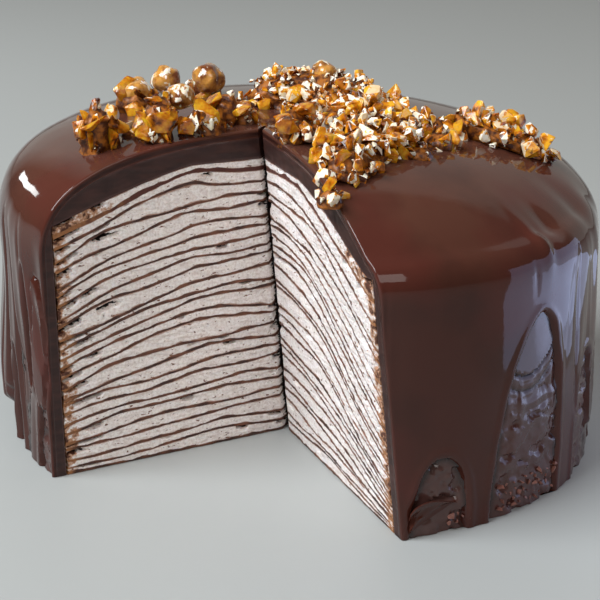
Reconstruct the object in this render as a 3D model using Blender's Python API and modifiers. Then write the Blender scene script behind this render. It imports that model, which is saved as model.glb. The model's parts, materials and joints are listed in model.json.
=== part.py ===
"""A crepe cake: thin crepes stacked with whipped cream, coated, glazed, and with one wedge taken out.

Metres, +Z up. The cake stands on z = 0 with its middle at the origin, and the missing wedge opens
towards -Y. A bearing is an angle round the cake, counted from -Y towards +X.
"""
import math
import random

import bmesh
import bpy
from mathutils import Matrix, Vector, noise

# ---- driving dimensions --------------------------------------------------------------------------
HEIGHT = 0.1163            # top of the glaze at the middle
BASE_RADIUS = 0.110        # glaze at the foot
RIM_RADIUS = 0.1092        # glaze where the side turns into the shoulder
SHOULDER_HEIGHT = 0.076    # where the straight side ends
CROWN_POWER = 3.0          # how flat the top stays before it falls away
EDGE_POWER = 2.7           # how round the shoulder is

GLAZE_TOP = 0.0030         # thickness of the poured glaze on the top
GLAZE_SIDE = 0.0026        # and on the side
COAT_TOP = 0.0075          # ganache undercoat on the top
COAT_SIDE = 0.0021         # and on the side
FIT_GAP = 0.0003           # space kept between two pieces that touch
FACET_GAP = 0.0004         # more space, where a facet's middle sits inside its circle

LAYER_PAIRS = 25           # crepes, each with its cream
CREPE_THICKNESS = 0.0011
FLAT_RADIUS = 0.060        # the layers lie flat out to here
EDGE_DROOP = 0.15          # share of its height that a layer has lost at its edge
CREAM_UNEVENNESS = 0.22    # how much the spread of cream varies from layer to layer
EDGE_UNEVENNESS = 0.0012   # how far a layer's edge stays back at most
SPREAD_SEED = 24
EDGE_SEED = 7

# The cake has settled a little: its top has moved sideways and dips to one side.
LEAN = Vector((-0.0057, -0.0027))
DIP = -0.0129

# The missing wedge: where its two faces meet at the foot, and how far they have moved at the top.
WEDGE_TIP = Vector((-0.0062, -0.0197))
WEDGE_TIP_LEAN = Vector((-0.0118, -0.0114))
LEFT_FACE_BEARING = math.radians(-59.2)
RIGHT_FACE_BEARING = math.radians(24.4)

ROUND_STEPS = 45           # steps round the coat and the glaze
LAYER_STEPS = 15           # steps round a layer; every third one of the coat's
FIRST_STEP = math.radians(-71.4)   # puts a corner of each ring beside where the wedge's faces end
CROWN_STEPS = 8            # steps down the top's dome outside
HIDDEN_CROWN_STEPS = 5     # and where the glaze covers it

# Arches that the glaze left open between its runs, beside the wedge: bearing in degrees, half width,
# height at the top, and how far the top stands to the right of the foot.
ARCHES = (
    (24.2, 0.0106, 0.027, 0.002),
    (43.8, 0.0172, 0.069, 0.007),
    (-55.2, 0.0042, 0.025, 0.002),
    (-68.5, 0.0030, 0.038, 0.001),
)
# A run that stops short of the foot there: bearing, half width, height of its end.
LEFT_SHORT_RUN = (-76.0, 0.0062, 0.010)
# The narrow slot between two runs beside the left face: bearing, half width, bottom, top.
SLOT = (-58.5, 0.0017, 0.030, 0.073)
# The rest of the side goes on in the same way, between these two bearings.
HEM_START = math.radians(60.5)
HEM_END = math.radians(276.0)
HEM_SEED = 11
ARCH_HALF_WIDTHS = (0.0055, 0.0150)
ARCH_HEIGHTS = (0.022, 0.064)
RUN_WIDTHS = (0.008, 0.016)
SHORT_RUN_ENDS = (0.005, 0.015)
SHORT_RUN_SHARE = 0.55     # how many of the runs stop short of the foot
ARCH_STEPS = 5             # steps up each side of an arch
ARCH_RISE_POWER = 0.8      # below 1, the sides of an arch stay upright for longer
ARCH_SPREAD_POWER = 1.1    # above 1, its top is a little pointed
ARCH_LEAN_SHARE = 0.3      # how far an arch round the back leans at most, for its half width
SLOT_STRAIGHT_SHARE = 0.6  # how much of a slot's length has straight sides
FOOT_OVERLAP = 0.004       # how far a cutter reaches below the foot

# Lumps of praline as large as berries: x, y, width, depth, height, turn in degrees.
CLUSTERS = (
    (-0.0712, -0.0420, 0.0172, 0.0160, 0.0150, 20),
    (-0.0520, -0.0405, 0.0190, 0.0160, 0.0160, -15),
    (-0.0645, -0.0030, 0.0150, 0.0135, 0.0110, 40),
    (-0.0405, 0.0250, 0.0150, 0.0140, 0.0110, 10),
    (-0.0335, -0.0370, 0.0118, 0.0110, 0.0105, 60),
    (-0.0310, -0.0235, 0.0155, 0.0130, 0.0120, -30),
)
# Heaps of praline: the line that each follows over the top, as x, y, half width and height.
MAIN_HEAP = (
    (-0.0270, 0.0060, 0.0075, 0.0100),
    (-0.0120, 0.0090, 0.0125, 0.0150),
    (0.0020, 0.0020, 0.0165, 0.0180),
    (0.0160, -0.0130, 0.0200, 0.0140),
    (0.0210, -0.0370, 0.0190, 0.0115),
    (0.0120, -0.0580, 0.0130, 0.0105),
    (0.0075, -0.0795, 0.0075, 0.0080),
)
SIDE_HEAP = (
    (0.0440, -0.0150, 0.0080, 0.0080),
    (0.0560, -0.0140, 0.0140, 0.0105),
    (0.0680, -0.0120, 0.0150, 0.0105),
    (0.0790, -0.0130, 0.0110, 0.0085),
    (0.0870, -0.0150, 0.0055, 0.0055),
)
LUMP_ROUGHNESS = 0.38      # how uneven a lump is, as a share of its size
LUMP_GRAIN = 0.010         # the size of the bumps on it
LUMP_WAVE = 0.1            # a slow wave on top of the bumps, as a share of the lump's size
LUMP_WAVE_PACE = (5.0, 7.0)     # how fast it goes up and down along X and Y
LUMP_SEED_STEP = 7.3       # how far apart the noise of two lumps is taken
LUMP_FLAT = 0.45           # how far under its middle a lump is flattened, for its radius
HEAP_END_STEEPNESS = 2.2   # how soon a heap is as wide as its line says, from its two ends


# ---- scene ---------------------------------------------------------------------------------------
def empty_scene():
    for thing in list(bpy.data.objects):
        bpy.data.objects.remove(thing, do_unlink=True)


def new_collection(name):
    collection = bpy.data.collections.new(name)
    bpy.context.scene.collection.children.link(collection)
    return collection


def new_material(name, colour, roughness):
    material = bpy.data.materials.new(name)
    material.use_nodes = True
    shader = material.node_tree.nodes["Principled BSDF"]
    shader.inputs["Base Color"].default_value = (*colour, 1.0)
    shader.inputs["Roughness"].default_value = roughness
    shader.inputs["Metallic"].default_value = 0.0
    return material


# ---- forms ---------------------------------------------------------------------------------------
def bearing_direction(bearing):
    return Vector((math.sin(bearing), -math.cos(bearing)))


def settle(point):
    """Lean and dip a point as the soft cake has settled; the foot stays where it is."""
    share = point.z / HEIGHT
    return Vector((point.x + LEAN.x * share, point.y + LEAN.y * share, point.z + DIP * point.x * share))


def crown(radius, top, shoulder, rim):
    """Height of a domed top that turns down into a side of radius rim."""
    reach = min(radius / rim, 1.0)
    return shoulder + (top - shoulder) * (1.0 - reach ** CROWN_POWER) ** (1.0 / EDGE_POWER)


def skin_profile(inset_top, inset_side, steps):
    """Points (radius, height) down the outside of the cake, inset by the coats that lie over it."""
    rim = RIM_RADIUS - inset_side
    top = HEIGHT - inset_top
    points = [(0.0, top)]
    for step in range(1, steps):
        turn = math.pi / 2 * step / steps
        radius = rim * math.sin(turn) ** (2.0 / CROWN_POWER)
        points.append((radius, crown(radius, top, SHOULDER_HEIGHT, rim)))
    points.append((rim, SHOULDER_HEIGHT))
    points.append((BASE_RADIUS - inset_side, 0.0))
    return points


def droop(height, radius):
    """Height of a layer's surface at a radius, for the height that it has at the middle."""
    past_flat = max(0.0, radius - FLAT_RADIUS) / (stack_radius() - FLAT_RADIUS)
    return height * (1.0 - EDGE_DROOP * past_flat)


def stack_radius():
    return RIM_RADIUS - GLAZE_SIDE - COAT_SIDE - 2 * FIT_GAP - FACET_GAP


def stack_height():
    return HEIGHT - GLAZE_TOP - COAT_TOP - 2 * FIT_GAP


def layer_heights():
    """Bottom and top of every crepe and cream at the middle, from the foot up."""
    spread = random.Random(SPREAD_SEED)
    shares = [1.0 + spread.uniform(-CREAM_UNEVENNESS, CREAM_UNEVENNESS) for _ in range(LAYER_PAIRS)]
    cream_room = stack_height() - LAYER_PAIRS * CREPE_THICKNESS
    height = 0.0
    layers = []
    for share in shares:
        crepe_top = height + CREPE_THICKNESS
        cream_top = crepe_top + cream_room * share / sum(shares)
        layers.append(((height, crepe_top), (crepe_top, cream_top)))
        height = cream_top
    return layers


# ---- solids --------------------------------------------------------------------------------------
def evaluated_mesh(shape):
    """The mesh that an object's curve or modifiers make, in world space, with its doubles merged."""
    bpy.context.view_layer.update()
    seen = shape.evaluated_get(bpy.context.evaluated_depsgraph_get())
    mesh = bpy.data.meshes.new_from_object(seen)
    mesh.transform(shape.matrix_world)
    build = bmesh.new()
    build.from_mesh(mesh)
    bmesh.ops.remove_doubles(build, verts=build.verts, dist=0.00001)
    bmesh.ops.recalc_face_normals(build, faces=build.faces)
    build.to_mesh(mesh)
    build.free()
    return mesh


def turned_mesh(name, profile, steps):
    """Turn a profile of (radius, height) points once round the Z axis."""
    outline = bpy.data.meshes.new(name + "_profile")
    points = [(radius, 0.0, height) for radius, height in profile]
    outline.from_pydata(points, [(at, at + 1) for at in range(len(points) - 1)], [])
    shape = bpy.data.objects.new(name + "_profile", outline)
    shape.rotation_euler.z = FIRST_STEP
    bpy.context.scene.collection.objects.link(shape)
    screw = shape.modifiers.new("Turn", "SCREW")
    screw.steps = steps
    screw.render_steps = steps
    screw.use_merge_vertices = True
    screw.merge_threshold = 0.00001
    mesh = evaluated_mesh(shape)
    bpy.data.objects.remove(shape, do_unlink=True)
    for vertex in mesh.vertices:
        vertex.co = settle(vertex.co)
    return mesh


def prism_mesh(name, outline, depth):
    """A flat outline in X and Y, drawn out to a depth, half of it each way along Z."""
    curve = bpy.data.curves.new(name, "CURVE")
    curve.dimensions = "2D"
    curve.fill_mode = "BOTH"
    curve.extrude = depth / 2
    spline = curve.splines.new("POLY")
    spline.points.add(len(outline) - 1)
    for point, (x, y) in zip(spline.points, outline):
        point.co = (x, y, 0.0, 1.0)
    spline.use_cyclic_u = True
    shape = bpy.data.objects.new(name, curve)
    bpy.context.scene.collection.objects.link(shape)
    mesh = evaluated_mesh(shape)
    bpy.data.objects.remove(shape, do_unlink=True)
    return mesh


def place(name, mesh, collection, material=None):
    piece = bpy.data.objects.new(name, mesh)
    collection.objects.link(piece)
    if material:
        mesh.materials.clear()
        mesh.materials.append(material)
        mesh.shade_smooth()
        mesh.set_sharp_from_angle(angle=math.radians(35))
    else:
        piece.hide_render = True
        piece.display_type = "WIRE"
    return piece


def cut(piece, cutter):
    boolean = piece.modifiers.new(cutter.name, "BOOLEAN")
    boolean.operation = "DIFFERENCE"
    boolean.solver = "EXACT"
    boolean.object = cutter


# ---- cutters -------------------------------------------------------------------------------------
def wedge_cutter(collection):
    """The missing wedge, a prism that leans back as its two faces do."""
    reach = 3 * BASE_RADIUS
    tip = WEDGE_TIP
    right = tip + reach * bearing_direction(RIGHT_FACE_BEARING)
    left = tip + reach * bearing_direction(LEFT_FACE_BEARING)
    mesh = prism_mesh("wedge", [tip, right, left], 3 * HEIGHT)
    for vertex in mesh.vertices:
        share = vertex.co.z / HEIGHT
        vertex.co.x += WEDGE_TIP_LEAN.x * share
        vertex.co.y += WEDGE_TIP_LEAN.y * share
    return place("wedge_cutter", mesh, collection)


def side_cutter(name, outline, bearing, collection):
    """A cutter whose outline is drawn on the cake's side at a bearing, as width and height."""
    depth = BASE_RADIUS / 2
    mesh = prism_mesh(name, outline, depth)
    outwards = bearing_direction(bearing).to_3d()
    along = Vector((math.cos(bearing), math.sin(bearing), 0.0))
    turn = Matrix((along, Vector((0.0, 0.0, 1.0)), outwards)).transposed().to_4x4()
    mesh.transform(Matrix.Translation(outwards * BASE_RADIUS) @ turn)
    return place(name, mesh, collection)


def arch_outline(half_width, height, lean):
    """A round-topped arch that starts a little below the foot, so that it opens downwards."""
    points = [(-half_width, -FOOT_OVERLAP), (half_width, -FOOT_OVERLAP)]
    for step in range(2 * ARCH_STEPS + 1):
        turn = math.pi * step / (2 * ARCH_STEPS)
        rise = math.sin(turn) ** ARCH_RISE_POWER
        spread = math.copysign(abs(math.cos(turn)) ** ARCH_SPREAD_POWER, math.cos(turn))
        points.append((lean * rise + half_width * spread, height * rise))
    return points


def run_end_outline(half_width, end):
    """What is cut off under a run, so that the run ends in a rounded drop."""
    points = [(-half_width, -FOOT_OVERLAP), (half_width, -FOOT_OVERLAP)]
    for step in range(ARCH_STEPS + 1):
        turn = math.pi * step / ARCH_STEPS
        points.append((half_width * math.cos(turn), end + half_width * (1.0 - math.sin(turn))))
    return points


def slot_outline(half_width, bottom, top):
    """A narrow upright slot with pointed ends."""
    middle = (bottom + top) / 2
    corner = (top - bottom) * SLOT_STRAIGHT_SHARE / 2
    sides = [(half_width, middle - corner), (half_width, middle + corner)]
    return [(0.0, bottom)] + sides + [(0.0, top)] + [(-x, y) for x, y in reversed(sides)]


def hem_outlines():
    """Bearing and outline of every opening in the glaze; round the back they follow a seeded rule."""
    outlines = [(math.radians(bearing), arch_outline(*sizes)) for bearing, *sizes in ARCHES]
    bearing, half_width, end = LEFT_SHORT_RUN
    outlines.append((math.radians(bearing), run_end_outline(half_width, end)))
    bearing, *sizes = SLOT
    outlines.append((math.radians(bearing), slot_outline(*sizes)))
    dice = random.Random(HEM_SEED)
    bearing = HEM_START
    while bearing < HEM_END:
        half_width = dice.uniform(*ARCH_HALF_WIDTHS)
        height = dice.uniform(*ARCH_HEIGHTS)
        bearing += half_width / BASE_RADIUS
        lean = dice.uniform(-ARCH_LEAN_SHARE, ARCH_LEAN_SHARE) * half_width
        outlines.append((bearing, arch_outline(half_width, height, lean)))
        half_run = dice.uniform(*RUN_WIDTHS) / 2
        bearing += (half_width + half_run) / BASE_RADIUS
        if dice.random() < SHORT_RUN_SHARE:
            end = dice.uniform(*SHORT_RUN_ENDS)
            outlines.append((bearing, run_end_outline(half_run + FIT_GAP, end)))
        bearing += half_run / BASE_RADIUS
    return outlines


def glaze_cutters(collection):
    return [side_cutter(f"hem_cutter_{number:02d}", outline, bearing, collection)
            for number, (bearing, outline) in enumerate(hem_outlines(), 1)]


# ---- sub-parts -----------------------------------------------------------------------------------
def layer_mesh(name, bottom, top, radius):
    profile = [(0.0, top), (FLAT_RADIUS, top), (radius, droop(top, radius)),
               (radius, droop(bottom, radius)), (FLAT_RADIUS, bottom), (0.0, bottom)]
    return turned_mesh(name, profile, LAYER_STEPS)


def build_layers(collection, wedge, crepe_material, cream_material):
    """Crepes and cream by turns, from the foot up, with a gap under each piece."""
    edge = random.Random(EDGE_SEED)
    for number, (crepe, cream) in enumerate(layer_heights(), 1):
        for kind, (bottom, top), material in (("crepe", crepe, crepe_material),
                                              ("cream", cream, cream_material)):
            name = f"{kind}_{number:02d}"
            radius = stack_radius() - edge.uniform(0.0, EDGE_UNEVENNESS)
            lift = FIT_GAP if bottom > 0.0 else 0.0
            piece = place(name, layer_mesh(name, bottom + lift, top, radius), collection, material)
            cut(piece, wedge)


def build_coat(collection, cutters, wedge, material):
    """The rough ganache coat: it follows the layers inside and the glaze outside."""
    outside = skin_profile(GLAZE_TOP + FIT_GAP, GLAZE_SIDE + FIT_GAP + FACET_GAP, HIDDEN_CROWN_STEPS)
    outside.append((0.0, 0.0))
    piece = place("undercoat", turned_mesh("undercoat", outside, ROUND_STEPS), collection, material)
    radius = stack_radius() + FIT_GAP
    height = stack_height() + FIT_GAP
    core = [(0.0, height), (FLAT_RADIUS, height), (radius, droop(height, radius)),
            (radius, -FOOT_OVERLAP), (0.0, -FOOT_OVERLAP)]
    cut(piece, place("stack_cutter", turned_mesh("stack_cutter", core, LAYER_STEPS), cutters))
    cut(piece, wedge)


def build_glaze(collection, wedge, cutters, material):
    """The poured glaze: a thin shell over the coat, open between its runs."""
    outside = skin_profile(0.0, 0.0, CROWN_STEPS)
    inside = skin_profile(GLAZE_TOP, GLAZE_SIDE, HIDDEN_CROWN_STEPS)
    profile = outside + inside[::-1]
    piece = place("glaze", turned_mesh("glaze", profile, ROUND_STEPS), collection, material)
    cut(piece, wedge)
    for cutter in cutters:
        cut(piece, cutter)


def top_height(x, y):
    """Height of the glaze above a point of the plan, with the cake's lean and dip."""
    off_x, off_y = x - LEAN.x, y - LEAN.y
    height = crown(math.hypot(off_x, off_y), HEIGHT, SHOULDER_HEIGHT, RIM_RADIUS)
    return height + DIP * off_x * height / HEIGHT


def roughen(point, seed):
    """Push a point of a unit lump in or out, by smooth noise that a seed moves."""
    place = point / LUMP_GRAIN + Vector((seed * LUMP_SEED_STEP, seed, -seed))
    return 1.0 + LUMP_ROUGHNESS * noise.noise(place)


def lump_mesh(name, subdivisions, placed):
    """A round lump whose points the function placed moves to their place on the top."""
    build = bmesh.new()
    bmesh.ops.create_icosphere(build, subdivisions=subdivisions, radius=1.0)
    for vertex in build.verts:
        vertex.co = placed(vertex.co.copy())
    bmesh.ops.recalc_face_normals(build, faces=build.faces)
    mesh = bpy.data.meshes.new(name)
    build.to_mesh(mesh)
    build.free()
    return mesh


def resting(x, y, rise, height):
    """A point at a share of a lump's height above the glaze; its underside is flattened."""
    share = max(0.0, (rise + LUMP_FLAT) / (1.0 + LUMP_FLAT))
    return Vector((x, y, top_height(x, y) + FIT_GAP + height * share))


def build_clusters(collection, material):
    for number, (x, y, width, depth, height, turn) in enumerate(CLUSTERS, 1):
        angle = math.radians(turn)

        def placed(unit, x=x, y=y, width=width, depth=depth, height=height, angle=angle, seed=number):
            wave = math.sin(LUMP_WAVE_PACE[0] * unit.x + LUMP_WAVE_PACE[1] * unit.y + seed)
            bump = roughen(unit * width / 2, seed) * (1.0 + LUMP_WAVE * wave)
            across = unit.x * width / 2 * bump
            back = unit.y * depth / 2 * bump
            at_x = x + across * math.cos(angle) - back * math.sin(angle)
            at_y = y + across * math.sin(angle) + back * math.cos(angle)
            return resting(at_x, at_y, unit.z * bump, height)

        name = f"praline_cluster_{number}"
        place(name, lump_mesh(name, 2, placed), collection, material)


def build_heap(name, spine, subdivisions, collection, material):
    """A heap that follows a line over the top, out to its uneven outline."""
    def placed(unit):
        along = (unit.x + 1.0) / 2 * (len(spine) - 1)
        part = min(int(along), len(spine) - 2)
        share = along - part
        start, end = spine[part], spine[part + 1]
        x, y, half_width, height = (a + (b - a) * share for a, b in zip(start, end))
        heading = Vector((end[0] - start[0], end[1] - start[1])).normalized()
        fullness = math.sqrt(max(1e-6, 1.0 - unit.x ** 2))
        ring = Vector((unit.y, unit.z)) / fullness
        fatness = min(1.0, fullness * HEAP_END_STEEPNESS)
        bump = roughen(Vector((x, y, 0.0)) + unit * half_width, subdivisions)
        side = ring.x * half_width * fatness * bump
        return resting(x - heading.y * side, y + heading.x * side, ring.y * bump * fatness, height)

    place(name, lump_mesh(name, subdivisions, placed), collection, material)


def main():
    empty_scene()
    cake = new_collection("crepe_cake")
    cutters = new_collection("cutters")
    crepe = new_material("crepe", (0.115, 0.048, 0.026), 0.70)
    cream = new_material("whipped_cream", (0.640, 0.545, 0.500), 0.60)
    coat = new_material("ganache_coat", (0.040, 0.022, 0.018), 0.50)
    glaze = new_material("chocolate_glaze", (0.045, 0.018, 0.014), 0.12)
    praline = new_material("nut_praline", (0.480, 0.200, 0.045), 0.25)

    wedge = wedge_cutter(cutters)
    build_layers(cake, wedge, crepe, cream)
    build_coat(cake, cutters, wedge, coat)
    build_glaze(cake, wedge, glaze_cutters(cutters), glaze)
    build_clusters(cake, praline)
    build_heap("praline_heap", MAIN_HEAP, 3, cake, praline)
    build_heap("praline_side_heap", SIDE_HEAP, 2, cake, praline)


main()
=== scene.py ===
# %% [markdown]
# # A crepe cake, from its layers to its praline
#
# The cake is twenty-five thin cocoa crepes with whipped cream between them, a rough coat of ganache round
# the stack, a poured chocolate glaze, and broken nut praline on the top. One wedge is taken out, so that
# the layers show on two cut faces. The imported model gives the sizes; this script makes the looks.

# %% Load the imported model
import itertools
import json
import math
import random

import bmesh
import bpy
import numpy as np
from mathutils import Matrix, Vector

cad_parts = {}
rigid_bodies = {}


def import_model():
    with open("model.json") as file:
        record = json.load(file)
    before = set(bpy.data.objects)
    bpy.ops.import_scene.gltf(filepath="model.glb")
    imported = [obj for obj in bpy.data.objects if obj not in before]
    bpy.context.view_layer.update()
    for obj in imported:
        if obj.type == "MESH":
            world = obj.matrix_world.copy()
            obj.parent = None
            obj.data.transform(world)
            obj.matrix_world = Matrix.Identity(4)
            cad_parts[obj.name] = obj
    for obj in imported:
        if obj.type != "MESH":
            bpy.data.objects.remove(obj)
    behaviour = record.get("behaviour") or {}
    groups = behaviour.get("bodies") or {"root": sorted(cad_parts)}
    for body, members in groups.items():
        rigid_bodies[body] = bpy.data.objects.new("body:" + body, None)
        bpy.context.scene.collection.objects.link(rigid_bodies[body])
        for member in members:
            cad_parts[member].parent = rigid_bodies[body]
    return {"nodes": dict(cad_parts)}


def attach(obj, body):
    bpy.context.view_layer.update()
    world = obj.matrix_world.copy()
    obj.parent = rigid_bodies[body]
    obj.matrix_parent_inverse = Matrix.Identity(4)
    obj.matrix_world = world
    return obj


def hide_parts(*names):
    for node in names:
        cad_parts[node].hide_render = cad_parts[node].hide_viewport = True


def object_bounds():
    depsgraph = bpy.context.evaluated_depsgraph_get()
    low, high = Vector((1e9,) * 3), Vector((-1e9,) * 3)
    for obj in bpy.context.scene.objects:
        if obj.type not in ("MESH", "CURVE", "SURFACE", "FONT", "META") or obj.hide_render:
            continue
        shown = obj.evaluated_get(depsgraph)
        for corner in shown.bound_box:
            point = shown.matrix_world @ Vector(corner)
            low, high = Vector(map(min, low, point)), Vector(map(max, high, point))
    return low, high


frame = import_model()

cad_low, cad_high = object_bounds()
print("model:", len(frame["nodes"]), "nodes,", [round(1000 * side) for side in cad_high - cad_low], "mm")

# %% [markdown]
# ## The cake's own measures
#
# Every piece has to fit the next one, so all of them are worked out from the same few sizes: the outside
# of the glaze, what lies over what, and the place of the missing wedge. They are the sizes that the solid
# model is made from. Metres, +Z up; a bearing is an angle round the cake from -Y towards +X.

# %% Sizes of the cake and of its wedge
HEIGHT = 0.1163            # top of the glaze at the middle
BASE_RADIUS = 0.110        # glaze at the foot
RIM_RADIUS = 0.1092        # glaze where the side turns into the shoulder
SHOULDER_HEIGHT = 0.076    # where the straight side ends
CROWN_POWER = 3.0          # how flat the top stays before it falls away
EDGE_POWER = 2.7           # how round the shoulder is
GLAZE_TOP = 0.0030         # thickness of the glaze on the top
GLAZE_SIDE = 0.0026        # most that it can be on the side
COAT_TOP = 0.0075          # ganache under it on the top

LEAN = np.array((-0.0057, -0.0027))        # how far the top has moved sideways
DIP = -0.0129                              # and how much lower one side of it is
WEDGE_TIP = np.array((-0.0062, -0.0197))   # where the two cut faces meet, at the foot
WEDGE_TIP_LEAN = np.array((-0.0118, -0.0114))
LEFT_FACE = math.radians(-59.2)            # bearings of the two cut faces
RIGHT_FACE = math.radians(24.4)

KNIFE_DEPTH = 0.0055       # how far the knife went on past the tip
KNIFE_MOUTH = 0.0022       # how far along each face the knife's slot opens
MOUTH_UNEVENNESS = 0.7     # how much that changes with the height, as a share of it
CORE_REACH = 0.045         # from the tip to the point that the inner rings shrink to

SAG = 0.0052               # how far the top sagged just inside the shoulder, beside the right-hand cut
SAG_RADIUS = 0.100
SAG_INWARDS = 0.021        # how far the sag reaches inwards
SAG_OUTWARDS = 0.0045      # and outwards, where the shoulder stayed sharp
SHARPER = 0.0009           # how far the sharp shoulder stands out there
SHARP_HEIGHT = 0.088       # its height
SHARP_REACH = 0.010        # and how far up and down it reaches
print("cake:", round(2000 * BASE_RADIUS), "mm across and", round(1000 * HEIGHT, 1), "mm high")


# %% From the sizes to the shape
def direction(bearing):
    return np.stack((np.sin(bearing), -np.cos(bearing)), axis=-1)


def ramp(value, start, end):
    """0 before the start, 1 after the end, and smooth between them."""
    share = np.clip((value - start) / (end - start), 0.0, 1.0)
    return share * share * (3.0 - 2.0 * share)


def beside_right_cut(points):
    """1 from the right-hand cut on round the front, falling to 0 at the side and towards the left."""
    bearing = np.degrees(np.arctan2(points[..., 0], -points[..., 1]))
    return ramp(bearing, -25.0, 15.0) * (1.0 - ramp(bearing, 50.0, 95.0))


def settle(points):
    """Lean, dip and sag points as the soft cake has settled; the foot stays where it is."""
    share = points[..., 2] / HEIGHT
    radius = np.hypot(points[..., 0], points[..., 1])
    from_ring = (radius - SAG_RADIUS) / np.where(radius < SAG_RADIUS, SAG_INWARDS, SAG_OUTWARDS)
    sag = SAG * beside_right_cut(points) * np.exp(-from_ring ** 2) * share ** 1.5
    shoulder = np.exp(-((points[..., 2] - SHARP_HEIGHT) / SHARP_REACH) ** 2) * ramp(radius, 0.100, 0.108)
    wider = 1.0 + SHARPER / RIM_RADIUS * shoulder * beside_right_cut(points)
    moved = points.copy()
    moved[..., :2] = points[..., :2] * wider[..., None] + LEAN * share[..., None]
    moved[..., 2] += DIP * points[..., 0] * share - sag
    return moved


def wedge_tip(height):
    """Plan place of the wedge's tip at a height, before the cake settles."""
    return WEDGE_TIP + (WEDGE_TIP_LEAN - LEAN) * (height / HEIGHT)[..., None]


def face_end(height, radius, face):
    """Bearing at which a cut face comes out through a circle round the cake."""
    tip = wedge_tip(height)
    ahead = (tip * direction(face)).sum(-1)
    reach = -ahead + np.sqrt(ahead ** 2 - (tip ** 2).sum(-1) + radius ** 2)
    end = tip + reach[..., None] * direction(face)
    return np.arctan2(end[..., 0], -end[..., 1])


def crown(radius, inset_top=0.0, inset_side=0.0):
    """Height of the domed top at a radius, inset by what lies over it."""
    reach = np.clip(radius / (RIM_RADIUS - inset_side), 0.0, 1.0)
    rise = (1.0 - reach ** CROWN_POWER) ** (1.0 / EDGE_POWER)
    return SHOULDER_HEIGHT + (HEIGHT - inset_top - SHOULDER_HEIGHT) * rise


BACKWARDS = -direction(np.array((LEFT_FACE + RIGHT_FACE) / 2))
SIDEWAYS = np.array((BACKWARDS[1], -BACKWARDS[0]))
LEFT_NORMAL = np.array((math.cos(LEFT_FACE), math.sin(LEFT_FACE), 0.0))
RIGHT_NORMAL = np.array((-math.cos(RIGHT_FACE), -math.sin(RIGHT_FACE), 0.0))
print("wedge:", round(math.degrees(RIGHT_FACE - LEFT_FACE), 1), "degrees")

# %% [markdown]
# ## Unevenness that is the same every time
#
# Cream, ganache and glaze are never even. Smooth noise on a lattice of random slopes gives bumps of a
# chosen size; a size for each axis draws them out, as a knife or gravity does. The seed is fixed, so the
# same cake comes out of every run.

# %% Smooth noise
def noise(points, size, seed):
    """Smooth noise, mostly between -1 and 1, with bumps of a size (one number, or one for each axis)."""
    dice = np.random.default_rng(seed)
    order = dice.permutation(256)
    slopes = dice.normal(size=(256, 3))
    slopes /= np.linalg.norm(slopes, axis=1, keepdims=True)
    place = points / np.asarray(size) + dice.uniform(0.0, 200.0, 3)
    cell = np.floor(place).astype(int)
    inside = place - cell
    fade = inside ** 3 * (inside * (inside * 6.0 - 15.0) + 10.0)
    total = np.zeros(points.shape[:-1])
    for corner in itertools.product((0, 1), repeat=3):
        where = cell + corner
        pick = order[(order[(order[where[..., 0] & 255] + where[..., 1]) & 255] + where[..., 2]) & 255]
        slope = ((inside - corner) * slopes[pick]).sum(-1)
        total += slope * np.prod(np.where(corner, fade, 1.0 - fade), axis=-1)
    return 1.7 * total


print("noise at one point:", noise(np.full((1, 3), 0.004), 0.010, 1).round(3))

# %% [markdown]
# ## From rows of points to a closed piece
#
# The layers, the coat and the glaze are sheets that bend round the same outline. A primitive with a
# Boolean would give them long thin faces just where the cut shows. Here each piece is gathered as grids
# of points, with close rows only where they are seen. Two rows of unlike counts are stitched with
# triangles, so the shell stays closed while its hidden side stays coarse.

# %% Gather points and faces of one piece
class Shell:
    """Points, faces and named marks of one piece, gathered before they become a mesh."""

    def __init__(self, *marks):
        self.points = []
        self.faces = []
        self.marks = {name: [] for name in marks}
        self.count = 0

    def add(self, points, **marks):
        """Take in an array of points, and give back an array of their numbers."""
        rows = points.shape[:-1]
        numbers = self.count + np.arange(np.prod(rows)).reshape(rows)
        self.points.append(points.reshape(-1, 3))
        for name, values in self.marks.items():
            values.append(np.broadcast_to(marks.get(name, 0.0), rows).reshape(-1))
        self.count += numbers.size
        return numbers

    def grid(self, numbers):
        """Faces between neighbouring rows and columns."""
        corners = (numbers[:-1, :-1], numbers[:-1, 1:], numbers[1:, 1:], numbers[1:, :-1])
        self.faces += np.stack(corners, axis=-1).reshape(-1, 4).tolist()

    def stitch(self, first, first_at, second, second_at):
        """Triangles between two rows of unlike counts, by how far along each point lies."""
        at, to = 0, 0
        while at < len(first) - 1 or to < len(second) - 1:
            ended = to == len(second) - 1
            if ended or (at < len(first) - 1 and first_at[at + 1] <= second_at[to + 1]):
                self.faces.append([int(first[at]), int(first[at + 1]), int(second[to])])
                at += 1
            else:
                self.faces.append([int(first[at]), int(second[to + 1]), int(second[to])])
                to += 1

    def fan(self, ring, middle):
        """Triangles from a closed ring to one point."""
        self.faces += [[int(a), int(b), int(middle)] for a, b in zip(ring, np.roll(ring, -1))]

    def piece(self, name, material, sharp=40.0):
        """Make the object, with its faces turned outwards."""
        mesh = bpy.data.meshes.new(name)
        mesh.from_pydata(np.concatenate(self.points), [], self.faces)
        for mark, values in self.marks.items():
            layer = mesh.attributes.new(mark, "FLOAT", "POINT")
            layer.data.foreach_set("value", np.concatenate(values).astype(np.float32))
        return finished(name, mesh, material, sharp)


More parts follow.
